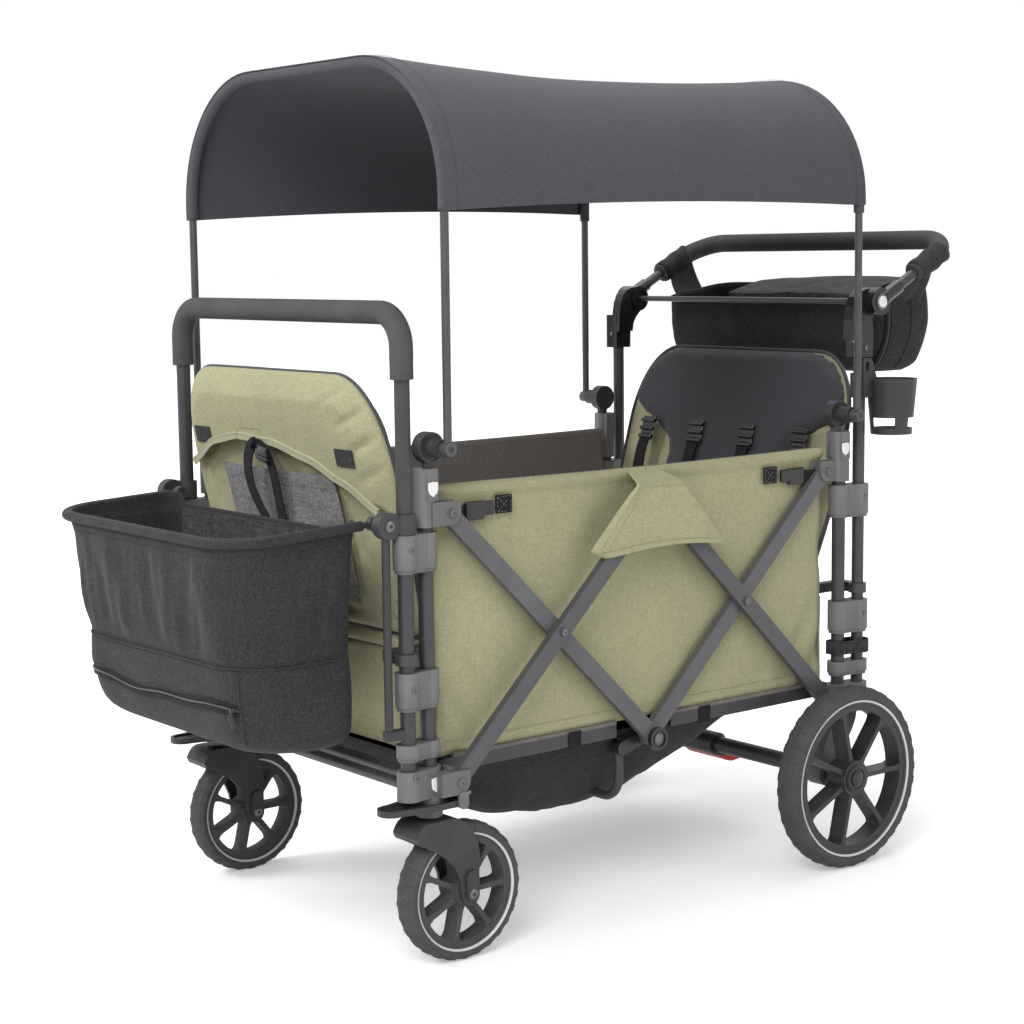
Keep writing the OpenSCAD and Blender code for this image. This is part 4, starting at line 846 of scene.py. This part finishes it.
def back_depth(x, h, inset):
    """The shell's back: a bevelled border, a flat panel and a gathered layer below the arch."""
    share = min(1.0, inset / SEAT_BEVEL)
    depth = -4 - 19 * share ** 0.85
    shoulder = math.exp(-((x - 225) / 70) ** 2 - ((h - 320) / 80) ** 2)
    pucker = max(0.0, math.sin(h / 7.5 - x / 16)) ** 3 * math.sin(math.pi * min(1.0, inset / 60))
    depth += 9 * shoulder * pucker + 0.8 * wave((x, h, 0), 60, 3)
    below = smooth_step((arch_height(x) - h) / 7) * smooth_step((inset - 10) / 14)
    gathers = 3.5 * wave((x * 1.6, h * 0.5, 0), 40, 5) + 2.5 * wave((x, h, 0), 22, 9)
    return depth + below * (16 + gathers)


def back_ring(end, points, inset):
    """A ring on the back of the shell, at a distance from the shell's edge."""
    return [seat_flat(end, p, back_depth(p.x, p.y, inset)) for p in points]


def seat_shell(end, name, loop):
    middle = Vector((0, 200))
    rings = []
    for share in (0.03, 0.3, 0.6, 0.85, 0.97):
        rings.append([seat_flat(end, middle.lerp(p, share), 4) for p in loop])
    rings.append([seat_flat(end, p, 2) for p in loop])
    rings.append([seat_flat(end, p, -3) for p in loop])
    for inset in (3, 7, 12, 18, 24, 30, 35, 38, SEAT_BORDER):
        rings.append(back_ring(end, drawn_in(loop, inset), inset))
    inner = drawn_in(loop, SEAT_BORDER)
    for k in range(1, 45):
        rings.append(back_ring(end, [p.lerp(middle, k / 44.6) for p in inner], SEAT_BORDER + 3 * k))
    return loft(name, rings, green_cloth)


def seat_pad(end, name):
    loop = upright_loop(pad_half, 30, SEAT_TOP + 1.5, 240, 4)
    middle = Vector((0, 230))
    rings = [[seat_flat(end, middle.lerp(p, share), 5) for p in loop] for share in (0.05, 0.5, 0.9, 1.0)]
    for inset, depth in ((-1, 8), (3, 11), (10, 14)):
        rings.append([seat_flat(end, p, depth) for p in drawn_in(loop, inset)])
    inner = drawn_in(loop, 10)
    for k in range(1, 20):
        share = k / 20
        rings.append([seat_flat(end, p.lerp(middle, share), 14 + 3 * share) for p in inner])
    pad = inflate(loft(name, rings, pad_cloth), 7)
    lean = math.radians(SEAT_LEAN[end])
    toward = Vector((0, -end * math.cos(lean), math.sin(lean)))
    foot = at(*seat_at(end, 0, 4.4, 0))
    for vert in pad.data.vertices:
        sunk = (vert.co - foot).dot(toward)
        if sunk < 0:
            vert.co -= toward * sunk
    return pad


def seat_strip(end, name, places, width, thickness, material):
    """Webbing laid along places given as across, depth and height on a seat."""
    return strap(name, [seat_at(end, *p) for p in places], (1, 0, 0), width, thickness, material)


def smooth_places(places, steps):
    """More places on a smooth line through the given ones."""
    found = []
    count = len(places)
    for i in range(count - 1):
        p0, p1, p2, p3 = (Vector(places[max(0, min(count - 1, i + k))]) for k in (-1, 0, 1, 2))
        for k in range(steps):
            t = k / steps
            found.append(0.5 * (2 * p1 + (p2 - p0) * t + (2 * p0 - 5 * p1 + 4 * p2 - p3) * t * t
                                + (3 * p1 - p0 - 3 * p2 + p3) * t ** 3))
    return found + [Vector(places[-1])]


def seat_block(end, name, size, place, material, bevel=1.0, turn=0):
    tilt = SEAT_LEAN[end] if end < 0 else -SEAT_LEAN[end]
    return block(name, size, seat_at(end, *place), material, bevel, (tilt, turn, 0))


def ladder_lock(end, name, x, depth, h):
    """A strap adjuster: a plastic frame with three bars."""
    pieces = [seat_block(end, name + "_plate", (32, 3, 44), (x, depth, h), gloss_moulding, 1.2)]
    for lift in (-16, -1, 14):
        place = (x, depth + 3, h + lift)
        pieces.append(seat_block(end, name + "_bar", (34, 8, 7), place, gloss_moulding, 2.2))
    return pieces


def pocket_point(end, i, k, off):
    """A point on a seat's back pocket, which sags in the middle."""
    x = -168 + 303 * i / 40
    h = 60 + 196 * k / 30
    sag = 5 * math.sin(math.pi * i / 40) * math.sin(math.pi * k / 30) ** 0.5
    hem = 1.4 if k > 27 else 0.0
    depth = -15.5 - sag - hem - 1.5 * wave((x, h, 0), 45, 2) - off
    return seat_at(end, x, depth, h - 3 * math.sin(math.pi * i / 40) * k / 30)


for end in SIDES:
    body = SEAT_BODY[end]
    base = body + "_"
    loop = upright_loop(seat_half, 18, SEAT_TOP - 1, 240, 5)
    shell = dress(seat_shell(end, base + "shell", loop), body, [SEAT_NODE[end]])
    pad = dress(seat_pad(end, base + "pad"), body)
    edge = [seat_flat(end, p, 3.2) for p in drawn_in(loop, 0.6)]
    dress(tube(base + "piping", edge, 3.0, grey_cloth, 10, closed=True), body)
    rod_line = [seat_at(end, x, 0, 0) for x in range(-262, 263, 131)]
    dress(tube(base + "rod_sleeve", rod_line, 10.2, green_cloth, 20), body)
    arch_places = []
    for x in range(-246, 247, 6):
        h = arch_height(x)
        arch_places.append((x, back_depth(x, h + 6, 60) - 1.6, h))
    dress(seat_strip(end, base + "binding", arch_places, 11, 4, pale_binding), body)
    rows = [[pocket_point(end, i, k, 0) for k in range(31)] for i in range(41)]
    pocket = dress(thicken(grid(base + "pocket", rows, pocket_cloth), 1.6), body)
    trims = []
    for x, h in ((-198, 300), (188, 288)):
        trims.append(seat_block(end, "tape", (44, 2.4, 26), (x, -24.4, h), velcro, 0.6))
    trims.append(seat_strip(end, "pull", smooth_places(PULL_LINE, 6), 22, 2.2, webbing))
    trims += [seat_block(end, "lock", (30, 6, 26), (-14, -35, 284), gloss_moulding, 1.5, 12),
              seat_block(end, "lock_bar", (34, 5, 6), (-14, -38, 278), gloss_moulding, 1.5, 12)]
    for x in (-190, -63, 63, 190):
        trims += ladder_lock(end, "adjuster", x, 27, 243)
        fall = [(x, 22, 262), (x + 2, 27, 232), (x + 3, 31, 200), (x + 6, 27, 150), (x + 8, 24, 90)]
        trims.append(seat_strip(end, "shoulder", smooth_places(fall, 6), 26, 3.2, webbing))
    dress(join(base + "trim", trims), body)
    box_line = [(-85, 300), (-28, 300), (-28, 318), (-85, 318), (-85, 300)]
    rows = [[seat_at(end, x, back_depth(x, h, 90) - 0.9, h) for x, h in box_line]]
    rows.append([seat_at(end, x, d - 2.2, h + 3.4) for x, d, h in arch_places])
    rows.append([pocket_point(end, i, 27, 1.2) for i in range(41)])
    dress(sewn_rows(base + "stitches", rows, green_thread), body)


# Bags

def box_loop(half, low_y, high_y, low_r, high_r, count):
    """A rounded box seen from above, counter-clockwise from the corner at +X and high Y."""
    corners = ((half - high_r, high_y - high_r, high_r, 0), (-half + high_r, high_y - high_r, high_r, 90),
               (-half + low_r, low_y + low_r, low_r, 180), (half - low_r, low_y + low_r, low_r, 270))
    points = []
    for x, y, r, start in corners:
        for k in range(13):
            turn = math.radians(start + 7.5 * k)
            points.append((x + r * math.cos(turn), y + r * math.sin(turn)))
    return even_loop(points, count, 2)


def shrunk(ring, share, drop):
    """A ring drawn in towards its middle and lowered."""
    middle = sum((Vector(p) for p in ring), Vector()) / len(ring)
    return [tuple(Vector(p).lerp(middle, share) - Vector((0, 0, drop))) for p in ring]


BAG_STEPS = 240
BAG_SEAM = 0.4
BAG_DROOP = math.tan(math.radians(3))


def bag_ring(t, off=0.0):
    """One turn round the front basket at a share of its height."""
    swell = 9 * math.sin(math.pi * t / BAG_SEAM) ** 0.6 if 0 < t < BAG_SEAM else 0.0
    foot = 18 * max(0.0, 1 - t / 0.08) ** 2
    waist = math.sin(math.pi * t)
    half = 261 - 22 * (1 - t) - 7 * waist + swell - foot
    front = 718 - 52 * (1 - t) ** 1.4 + 6 * waist + swell - foot
    loop = box_loop(half, -front, -510.5 - foot / 2, 76, 26, BAG_STEPS)
    ring = []
    drape = smooth_step((t - BAG_SEAM) / 0.12) * smooth_step((1.0 - t) / 0.22)
    pocket = 1 - smooth_step((t - BAG_SEAM + 0.02) / 0.04)
    for k, (p, n) in enumerate(zip(loop, outward(loop))):
        run = 1500 * k / BAG_STEPS
        free = smooth_step((-p.y - 522) / 40)
        broad = 9 * wave((run + 70 * t, 80 * t, 0), 58, 3)
        narrow = 4 * wave((run - 50 * t, 90 * t, 0), 27, 5)
        fold = drape * (broad + narrow)
        crease = pocket * 2.6 * wave((0.7 * run, 800 * t, 0), 70, 8)
        hem = 1.4 * smooth_step((t - 0.915) / 0.01)
        q = p + n * (free * (fold + crease) + hem + off)
        dip = 17 * t ** 3 * smooth_step((q.y + 520) / 8) * smooth_step((243 - abs(q.x)) / 24)
        ring.append((q.x, q.y, 325 + 323 * t + t * t * BAG_DROOP * (q.y + 494) - dip))
    return ring


def ring_at(ring, s):
    """A place on a ring at a share of the way round."""
    place = (s % 1.0) * len(ring)
    k = int(place)
    return tuple(Vector(ring[k]).lerp(Vector(ring[(k + 1) % len(ring)]), place - k))


def bag_at(s, t, off):
    """A place on the basket: s is the share of the way round, t the share of the height."""
    return ring_at(bag_ring(t, off), s)


def bag_line(s0, s1, t_of, off, steps):
    return [bag_at(s0 + (s1 - s0) * k / steps, t_of(k / steps), off) for k in range(steps + 1)]


def with_basket(made):
    dress(made, "front_frame")
    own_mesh(made)
    return made


levels = [0.0, 0.015, 0.03, 0.05, 0.08] + [0.08 + 0.32 * k / 12 for k in range(1, 12)] + [0.392, 0.4, 0.408]
levels += [0.41 + 0.5 * k / 22 for k in range(1, 23)] + [0.918, 0.93, 0.96, 0.985, 1.0]
outside = [bag_ring(t) for t in levels]
inside = [bag_ring(max(t, 0.02), -3.0) for t in reversed(levels)]
rings = [shrunk(outside[0], share, 7 * share) for share in (0.95, 0.7, 0.4, 0.15)] + outside
rings += inside + [shrunk(inside[-1], share, 5 * share) for share in (0.2, 0.6, 0.95)]
basket = loft("basket", rings, black_cloth)
with_basket(basket)
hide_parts("front_basket")


def panel_point(i, k):
    pucker = 1.2 * abs(wave((i * 9, 0, k * 9), 40, 2))
    return (-228 + 456 * i / 30, -515.2 - pucker, 340 + 284 * k / 20)


panel = grid("basket_panel", [[panel_point(i, k) for k in range(21)] for i in range(31)], mesh_cloth)
with_basket(thicken(panel, 1.2))


def zip_height(share):
    return 0.215 + 0.014 * math.sin(9 * share) + 0.006 * math.sin(21 * share + 1)


def seam_height(share):
    return BAG_SEAM + 0.004 * math.sin(11 * share)


zip_path = bag_line(0.45, 0.875, zip_height, 0.9, 110)
coil_path = bag_line(0.45, 0.875, zip_height, 2.0, 110)
sewn = [strap("zip_tape", zip_path, (0, 0, 1), 17, 1.2, webbing)]
sewn.append(tube("zip_coil", coil_path, 1.9, gloss_moulding, 8))
pull_at = Vector(bag_at(0.868, zip_height(0.98), 4))
sewn.append(block("zip_pull", (5, 9, 7), pull_at, gloss_moulding, 1.2))
sewn.append(block("zip_tab", (2, 7, 24), pull_at + Vector((3, -3, -14)), gloss_moulding, 0.8, (18, 0, 0)))
sewn.append(tube("pocket_seam", bag_line(0.35, 0.995, seam_height, 1.2, 150), 1.9, black_cloth, 8))
corner_line = bag_line(0.878, 0.874, lambda share: 0.06 + 0.33 * share, 0.8, 30)
sewn.append(tube("corner_seam", corner_line, 1.6, black_cloth, 8))
with_basket(join("basket_trim", sewn))
rows = [bag_line(0.345, 0.995, lambda share: 0.912, 0.8, 200),
        bag_line(0.35, 0.995, lambda share: 0.418, 0.8, 200),
        bag_line(0.96, 0.958, lambda share: 0.42 + 0.49 * share, 0.8, 40),
        bag_line(0.967, 0.965, lambda share: 0.42 + 0.49 * share, 0.8, 40),
        bag_line(0.45, 0.87, lambda share: zip_height(share) + 0.03, 0.9, 110),
        bag_line(0.45, 0.87, lambda share: zip_height(share) - 0.03, 0.9, 110)]
with_basket(sewn_rows("basket_stitches", rows, dark_thread))


def basket_bow_path():
    """The basket's bow from the left hub round the front to the right one."""
    half = 266.8
    bend = 80.8
    found = [(half, -514 - (723.5 - bend - 514) * k / 8, 0) for k in range(9)]
    for k in range(1, 13):
        turn = math.radians(7.5 * k)
        found.append((half - bend + bend * math.cos(turn), -723.5 + bend - bend * math.sin(turn), 0))
    found += [(-x, y, z) for x, y, z in reversed(found)]
    return [(x, y, 642 + BAG_DROOP * (y + 494)) for x, y, z in found]


dress(tube("basket_rim", basket_bow_path(), 7.2, black_cloth, 14), "basket_frame")

CONSOLE_STEPS = 200
PUSH_RISE = math.radians(28)
PUSH_Y = 498
PUSH_Z = 927


def console_ring(t, off=0.0):
    """One turn round the console bag at a share of its height."""
    waist = math.sin(math.pi * t)
    foot = 12 * max(0.0, 1 - t / 0.12) ** 2
    half = 245 + 14 * t + 6 * waist - foot
    low_y = 557 - 12 * t - 4 * waist + foot
    high_y = 680 + 18 * t + 16 * waist - foot
    loop = box_loop(half, low_y, high_y, 30, 34, CONSOLE_STEPS)
    ring = []
    for k, (p, n) in enumerate(zip(loop, outward(loop))):
        run = 780 * k / CONSOLE_STEPS
        fold = waist * (2.4 * wave((run, 60 * t, 0), 46, 4) + 1.3 * wave((run, 120 * t, 0), 20, 6))
        q = p + n * (fold + off)
        ring.append((q.x, q.y, 810 + 118 * t + 24 * t * t * (q.y - 548) / 150 - 5 * (1 - t) ** 4))
    return ring


def console_at(s, t, off):
    return ring_at(console_ring(t, off), s)


def on_handle(x, along, off):
    """A place on the push handle: across, along it from its pivot and above its plane."""
    return (x, PUSH_Y + along * math.cos(PUSH_RISE) - off * math.sin(PUSH_RISE),
            PUSH_Z + along * math.sin(PUSH_RISE) + off * math.cos(PUSH_RISE))


levels = [k / 24 for k in range(25)]
outside = [console_ring(t) for t in levels]
inside = [console_ring(max(t, 0.05), -2.6) for t in reversed(levels)]
rings = [shrunk(outside[0], share, 4 * share) for share in (0.95, 0.6, 0.25)] + outside + inside
rings += [shrunk(inside[-1], share, 3 * share) for share in (0.25, 0.6, 0.95)]
dress(loft("console", rings, black_cloth), "push_handle", ["console_bag"])


def lid_point(i, k):
    """A point on the console's lid: a short front lip, then the top."""
    x = -84 + 322 * i / 40
    share = k / 24
    if share < 0.18:
        y = 540 + 3 * share
        z = 918 + 110 * share
    else:
        run = (share - 0.18) / 0.82
        y = 541 + 158 * run
        z = 938 + 25 * run + 7 * math.sin(math.pi * run)
    z += 2.2 * wave((x, y, z), 50, 3) + 3 * math.sin(math.pi * i / 40)
    return (x, y, z)


lid = grid("console_lid", [[lid_point(i, k) for k in range(25)] for i in range(41)], mesh_cloth)
dress(thicken(lid, 1.8), "push_handle")
sewn = [tube("console_piping", console_ring(1.0, 0.5), 2.4, black_cloth, 8, closed=True)]
for s in (0.905, 0.975):
    edge = [console_at(s, 0.04 + 0.94 * k / 20, 0.8) for k in range(21)]
    sewn.append(tube("console_edge", edge, 1.7, black_cloth, 8))
zip_line = [console_at(0.93, 0.08 + 0.8 * k / 20, 1.0) for k in range(21)]
sewn.append(strap("end_tape", zip_line, (0, 1, 0), 16, 1.2, webbing))
sewn.append(tube("end_coil", zip_line, 1.9, gloss_moulding, 8))
for side in SIDES:
    wrap = [on_handle(side * 311.2, 100 + 72 * k / 12, 0) for k in range(13)]
    swell = [19.0 + 0.9 * math.sin(k * 1.1) for k in range(13)]
    sewn.append(tube("arm_wrap", wrap, swell, black_cloth, 24))
    gusset = []
    for k in range(13):
        top = Vector(on_handle(side * 298, 104 + 62 * k / 12, -13))
        foot = Vector((side * (257 - 2 * math.sin(k)), 584 + 74 * k / 12, 920))
        row = []
        for i in range(11):
            p = top.lerp(foot, i / 10)
            row.append((p.x + side * 5 * math.sin(math.pi * i / 10), p.y, p.z))
        gusset.append(row)
    sewn.append(thicken(grid("gusset", gusset, black_cloth), 2.4))
dress(join("console_trim", sewn), "push_handle")
rows = [[console_at(k / 120, 0.93, 0.7) for k in range(121)]]
rows.append([lid_point(i, 3) for i in range(41)])
rows += [[on_handle(side * (311.2 + 19.4), 104 + 64 * k / 20, 0) for k in range(21)] for side in SIDES]
dress(sewn_rows("console_stitches", rows, dark_thread), "push_handle")


# Small hardware

REAR_WHEEL_X = 348
REAR_WHEEL_Y = 389
REAR_WHEEL_R = 150
CASTER_X = 292
CASTER_Y = -374
CASTER_R = 101.5
PIVOT_Y = 391
LOW_PIVOT_Z = 268
HIGH_PIVOT_Z = 652
POST_LOOP = [(311, 452), (318, 464), (311, 478), (296, 480), (284, 464), (281, 440),
             (278, 424), (282, 408), (300, 408), (309, 424), (311, 440), (311, 452)]
RAIL_LOOP = [(280.4, 296), (280.6, 284), (280, 271.6), (270, 270.6), (260, 271.6), (259.4, 284), (259.6, 291)]
BUCKLE_TAIL = [(3, 14, 647), (5, 40, 646), (12, 66, 648)]
PATCH_SEAMS = [((-11, -10), (11, 10)), ((-11, 10), (11, -10)), ((-12, -11), (12, -11)),
               ((12, -11), (12, 11)), ((12, 11), (-12, 11)), ((-12, 11), (-12, -11))]
TUB_SEAMS_Z = (668, 316)


def cap_of(centre, axis, radius, material, high=2.4):
    profile = [(radius, -1), (radius, high * 0.5), (radius * 0.82, high * 0.85), (radius * 0.3, high)]
    return lathe("cap", profile, centre, axis, material, 28)


def screw_of(centre, axis, radius):
    """A domed head with a dark socket."""
    pieces = [cap_of(centre, axis, radius, steel, 2.2)]
    tip = Vector(centre) + Vector(axis) * 1.9
    pieces.append(lathe("socket", [(radius * 0.36, 0), (radius * 0.36, 0.5)], tip, axis, gloss_moulding, 6))
    return pieces


def shield_of(centre, side, material):
    """A reflector shaped like a shield, on a face that looks sideways."""
    outline = [(0, -11), (6.5, -6.5), (8.5, 0), (8.5, 9), (0, 10.5), (-8.5, 9), (-8.5, 0), (-6.5, -6.5)]
    x, y, z = centre
    rows = []
    for size, lift in ((1.0, -1.0), (1.0, 1.0), (0.82, 2.0), (0.1, 2.2)):
        rows.append([(x + side * lift, y + u * size, z + v * size) for u, v in outline])
    made = loft("shield", rows, material)
    made.data.polygons.foreach_set("use_smooth", [False] * len(made.data.polygons))
    return made


def ring_of(centre, outer_r, inner_r, out_x, in_x, side, material):
    """A flat ring on a wheel's side that follows the tyre's slope."""
    profile = [(inner_r, in_x - 0.6), (inner_r, in_x + 0.5), (outer_r, out_x + 0.5),
               (outer_r, out_x - 0.6), (inner_r, in_x - 0.6)]
    return lathe("ring", profile, centre, (side, 0, 0), material, 96, False)


def tread_of(centre, radius, width, count, material):
    """Slanted tread ribs over both shoulders of a tyre."""
    profile = [(radius - 0.34 * width, 0.475 * width), (radius - 0.2 * width, 0.5 * width),
               (radius - 0.06 * width, 0.36 * width), (radius, 0.16 * width), (radius, 0.03 * width)]
    x, y, z = centre
    points = []
    faces = []
    step = 2 * math.pi / count
    for side in SIDES:
        for k in range(count):
            start = len(points)
            for i, (r, lateral) in enumerate(profile):
                turn = step * (k + (0.5 if side > 0 else 0.0) + 0.22 * i * side * (1 if k % 2 else -1))
                for share, lift in ((-0.26, -0.4), (-0.2, 1.1), (0.2, 1.1), (0.26, -0.4)):
                    angle = turn + share * step
                    rise = lift if i else lift * 0.3
                    reach = r + rise * 0.8
                    out = side * (lateral + rise * 0.5)
                    points.append(at(x + out, y + reach * math.cos(angle), z + reach * math.sin(angle)))
            for i in range(len(profile) - 1):
                for j in range(3):
                    a = start + i * 4 + j
                    faces.append((a, a + 1, a + 5, a + 4))
            faces.append((start, start + 1, start + 2, start + 3))
            last = start + 4 * (len(profile) - 1)
            faces.append((last, last + 1, last + 2, last + 3))
    return mesh_object("tread", points, faces, material, smooth=False)


def trim_set(name, pieces, body):
    return dress(join(name, pieces), body)


for side, label in ((1, "left"), (-1, "right")):
    wheel = (side * REAR_WHEEL_X, REAR_WHEEL_Y, REAR_WHEEL_R)
    pieces = [tread_of(wheel, REAR_WHEEL_R, 44, 72, rubber_finish)]
    for face in SIDES:
        pieces.append(ring_of(wheel, 129.8, 126.6, 19.6, 18.4, face, ring_finish))
    cap_ring = [(21, 20.6), (21, 22.4), (19.5, 23), (17.5, 23), (16.5, 21.6)]
    pieces.append(lathe("cap_ring", cap_ring, wheel, (side, 0, 0), wheel_finish, 48, False))
    cap_centre = (side * 370, REAR_WHEEL_Y, REAR_WHEEL_R)
    pieces.append(cap_of(cap_centre, (side, 0, 0), 13, gloss_moulding, 3))
    trim_set("rear_wheel_trim_" + label, pieces, "wheel_" + label)
    wheel = (side * CASTER_X, CASTER_Y, CASTER_R)
    pieces = [tread_of(wheel, CASTER_R, 40, 56, rubber_finish)]
    for face in SIDES:
        pieces.append(ring_of(wheel, 86.6, 83.6, 19.0, 17.0, face, ring_finish))
    trim_set("caster_wheel_trim_" + label, pieces, "front_wheel_" + label)
    pieces = []
    for face in SIDES:
        pieces += screw_of((side * CASTER_X + face * 33, CASTER_Y + 2, CASTER_R), (face, 0, 0), 7.5)
    trim_set("caster_trim_" + label, pieces, "caster_" + label)

front = []
rear = []
for side in SIDES:
    out = (side, 0, 0)
    for z in (606, 410, 285):
        front += screw_of((side * 316, -464, z), out, 4.2)
        rear += screw_of((side * 316, 464, z), out, 4.2)
    front.append(shield_of((side * 309.2, -424, LOW_PIVOT_Z), side, reflector))
    front += screw_of((side * 327.5, -PIVOT_Y, LOW_PIVOT_Z), out, 5.5)
    front += screw_of((side * 308.2, -494, 642), out, 8)
    rear += screw_of((side * 314.5, PIVOT_Y, LOW_PIVOT_Z), out, 5.5)
    rear += screw_of((side * 313.2, 464, 852), out, 4)
    rear += screw_of((side * 299, 447, 862), (0, -1, 0), 4)
    strap_path = [(side * x, y, 355) for x, y in POST_LOOP]
    rear.append(strap("post_loop", smooth_places(strap_path, 4), (0, 0, 1), 22, 2.2, velcro))
trim_set("front_frame_trim", front, "front_frame")
trim_set("rear_frame_trim", rear, "rear_frame")
for body, end, x in (("front_slider", -1, 315.5), ("rear_slider", 1, 302.5)):
    pieces = []
    for side in SIDES:
        pieces.append(shield_of((side * 309.2, end * 421, 688), side, reflector))
        pieces += screw_of((side * x, end * PIVOT_Y, HIGH_PIVOT_Z), (side, 0, 0), 5.5)
    trim_set(body + "_trim", pieces, body)
for body, y, x in (("front_low_arms", -195.5, 323), ("rear_low_arms", 195.5, 310)):
    pieces = []
    for side in SIDES:
        pieces += screw_of((side * x, y, 460), (side, 0, 0), 5.5)
    trim_set(body + "_trim", pieces, body)
pieces = [cap_of((side * 312.5, 0, LOW_PIVOT_Z), (side, 0, 0), 9, steel, 3) for side in SIDES]
trim_set("centre_trim", pieces, "centre_foot")
for body, y in (("front_floor", -142), ("rear_floor", 129)):
    loops = []
    for side in SIDES:
        path = [(side * x, y, z) for x, z in RAIL_LOOP]
        loops.append(strap("rail_loop", path, (0, 1, 0), 24, 2.2, webbing))
    trim_set(body + "_loops", loops, body)
pieces = []
for side in SIDES:
    hub = (side * 317, PUSH_Y, PUSH_Z)
    collar = [(11.4, -2), (13.4, -1), (13.4, 1.4), (12.4, 2.2), (11.2, 2.2), (11.2, -2)]
    pieces.append(lathe("button_ring", collar, hub, (side, 0, 0), steel, 48, False))
trim_set("push_handle_trim", pieces, "push_handle")

# Buckles and patches on the tub
pieces = []
for side in SIDES:
    face = side * 279.5
    for end in SIDES:
        middle = end * 330
        pieces.append(block("buckle", (9, 34, 27), (face + side * 4, middle, 648), gloss_moulding, 3))
        tongue = (face + side * 4, middle - end * 24, 650)
        pieces.append(block("buckle_tongue", (7, 22, 21), tongue, gloss_moulding, 3))
        slot = (face + side * 4.4, middle + end * 9, 648)
        pieces.append(block("buckle_slot", (10, 4, 16), slot, moulding, 1))
        tail = [(face + side * out, middle + end * along, z) for out, along, z in BUCKLE_TAIL]
        pieces.append(strap("buckle_strap", smooth_places(tail, 5), (0, 0, 1), 20, 2, webbing))
        patch = middle - end * 56
        pieces.append(block("patch", (2.4, 30, 27), (face + side * 1.4, patch, 653), webbing, 0.8))
        for seam in PATCH_SEAMS:
            line = [(face + side * 2.9, patch + u, 653 + v) for u, v in seam]
            pieces.append(stitches("cross", line, pale_thread))
with_fold(trim_set("tub_buckles", pieces, "rear_frame"))
rows = []
for side in SIDES:
    for z in TUB_SEAMS_Z:
        row = []
        for k in range(121):
            y = -394 + 788 * k / 120
            x = TUB_X - wall_depth(side, y, z) + rim_swell(z) + 1.2
            row.append((side * x, y, z - rim_lift(k / 120, z)))
        rows.append(row)
with_fold(dress(sewn_rows("tub_stitches", rows, green_thread), "rear_frame"))


# Stage, light and camera

PHOTO_PIXELS = 1024
FOCAL_PIXELS = 2058.4
CAMERA_TURN = 51.43
CAMERA_RISE = 7.08
CAMERA_ROLL = -0.66
CAMERA_PLACE = (2599.54, -2107.62, 1007.87)
FLOOR_REACH = 14000


def add_camera():
    turn = math.radians(CAMERA_TURN)
    rise = math.radians(CAMERA_RISE)
    roll = math.radians(CAMERA_ROLL)
    back = Vector((math.sin(turn) * math.cos(rise), -math.cos(turn) * math.cos(rise), math.sin(rise)))
    right = Vector((math.cos(turn), math.sin(turn), 0))
    up = back.cross(right)
    right, up = right * math.cos(roll) + up * math.sin(roll), up * math.cos(roll) - right * math.sin(roll)
    data = bpy.data.cameras.new("camera")
    data.sensor_width = 36
    data.lens = FOCAL_PIXELS / PHOTO_PIXELS * data.sensor_width
    made = bpy.data.objects.new("camera", data)
    bpy.context.scene.collection.objects.link(made)
    spin = Matrix((right, up, back)).transposed().to_4x4()
    made.matrix_world = Matrix.Translation(at(*CAMERA_PLACE)) @ spin
    bpy.context.scene.camera = made


def add_lamp(name, place, target, size, watts):
    data = bpy.data.lights.new(name, "AREA")
    data.energy = watts
    data.shape = "DISK"
    data.size = size
    made = bpy.data.objects.new(name, data)
    bpy.context.scene.collection.objects.link(made)
    made.location = Vector(place)
    made.rotation_euler = (Vector(target) - Vector(place)).to_track_quat("-Z", "Y").to_euler()


def seen_rays(tree):
    """1 for what the camera sees directly, in gloss or through glass."""
    path = add_node(tree, "ShaderNodeLightPath")
    seen = math_node(tree, "MAXIMUM", path.outputs["Is Camera Ray"], path.outputs["Is Glossy Ray"])
    return math_node(tree, "MAXIMUM", seen, path.outputs["Is Transmission Ray"])


def add_stage():
    world = bpy.data.worlds.new("world")
    bpy.context.scene.world = world
    world.use_nodes = True
    tree = world.node_tree
    sky = tree.nodes["Background"]
    sky.inputs["Color"].default_value = (1, 1, 1, 1)
    tree.links.new(ramp(tree, seen_rays(tree), 0.0, 1.0, 0.32, 1.0), sky.inputs["Strength"])
    material, tree, shader = new_material("floor_finish")
    shader.inputs["Base Color"].default_value = (0.93, 0.93, 0.93, 1)
    shader.inputs["Roughness"].default_value = 0.9
    shader.inputs["Emission Color"].default_value = (1, 1, 1, 1)
    # The floor glows for seen rays only. This is painted light: weaker near the wagon, so the lamps' shadow
    # shows there, and stronger further off, so the floor turns white and the shadow fades out
    place = add_node(tree, "ShaderNodeTexCoord").outputs["Object"]
    reach_node = add_node(tree, "ShaderNodeVectorMath", operation="LENGTH")
    tree.links.new(place, reach_node.inputs[0])
    painted_floor_light = ramp(tree, reach_node.outputs["Value"], 1.1, 3.0, 0.34, 1.0)
    tree.links.new(math_node(tree, "MULTIPLY", painted_floor_light, seen_rays(tree)), shader.inputs["Emission Strength"])
    corners = [at(FLOOR_REACH * x, FLOOR_REACH * y, 0) for x, y in ((-1, -1), (1, -1), (1, 1), (-1, 1))]
    floor = mesh_object("floor", corners, [(0, 1, 2, 3)], material)
    middle = (0, 0, 0.55)
    add_lamp("key", (2.2, -2.8, 2.8), middle, 2.2, 98)
    add_lamp("left", (-1.8, -3.2, 3.2), middle, 1.8, 92)
    add_lamp("fill", (3.6, 1.2, 1.8), middle, 2.6, 24)
    add_lamp("top", (-0.6, 0.6, 4.2), middle, 3.0, 90)


add_camera()
add_stage()
bpy.context.scene.view_settings.view_transform = "Standard"
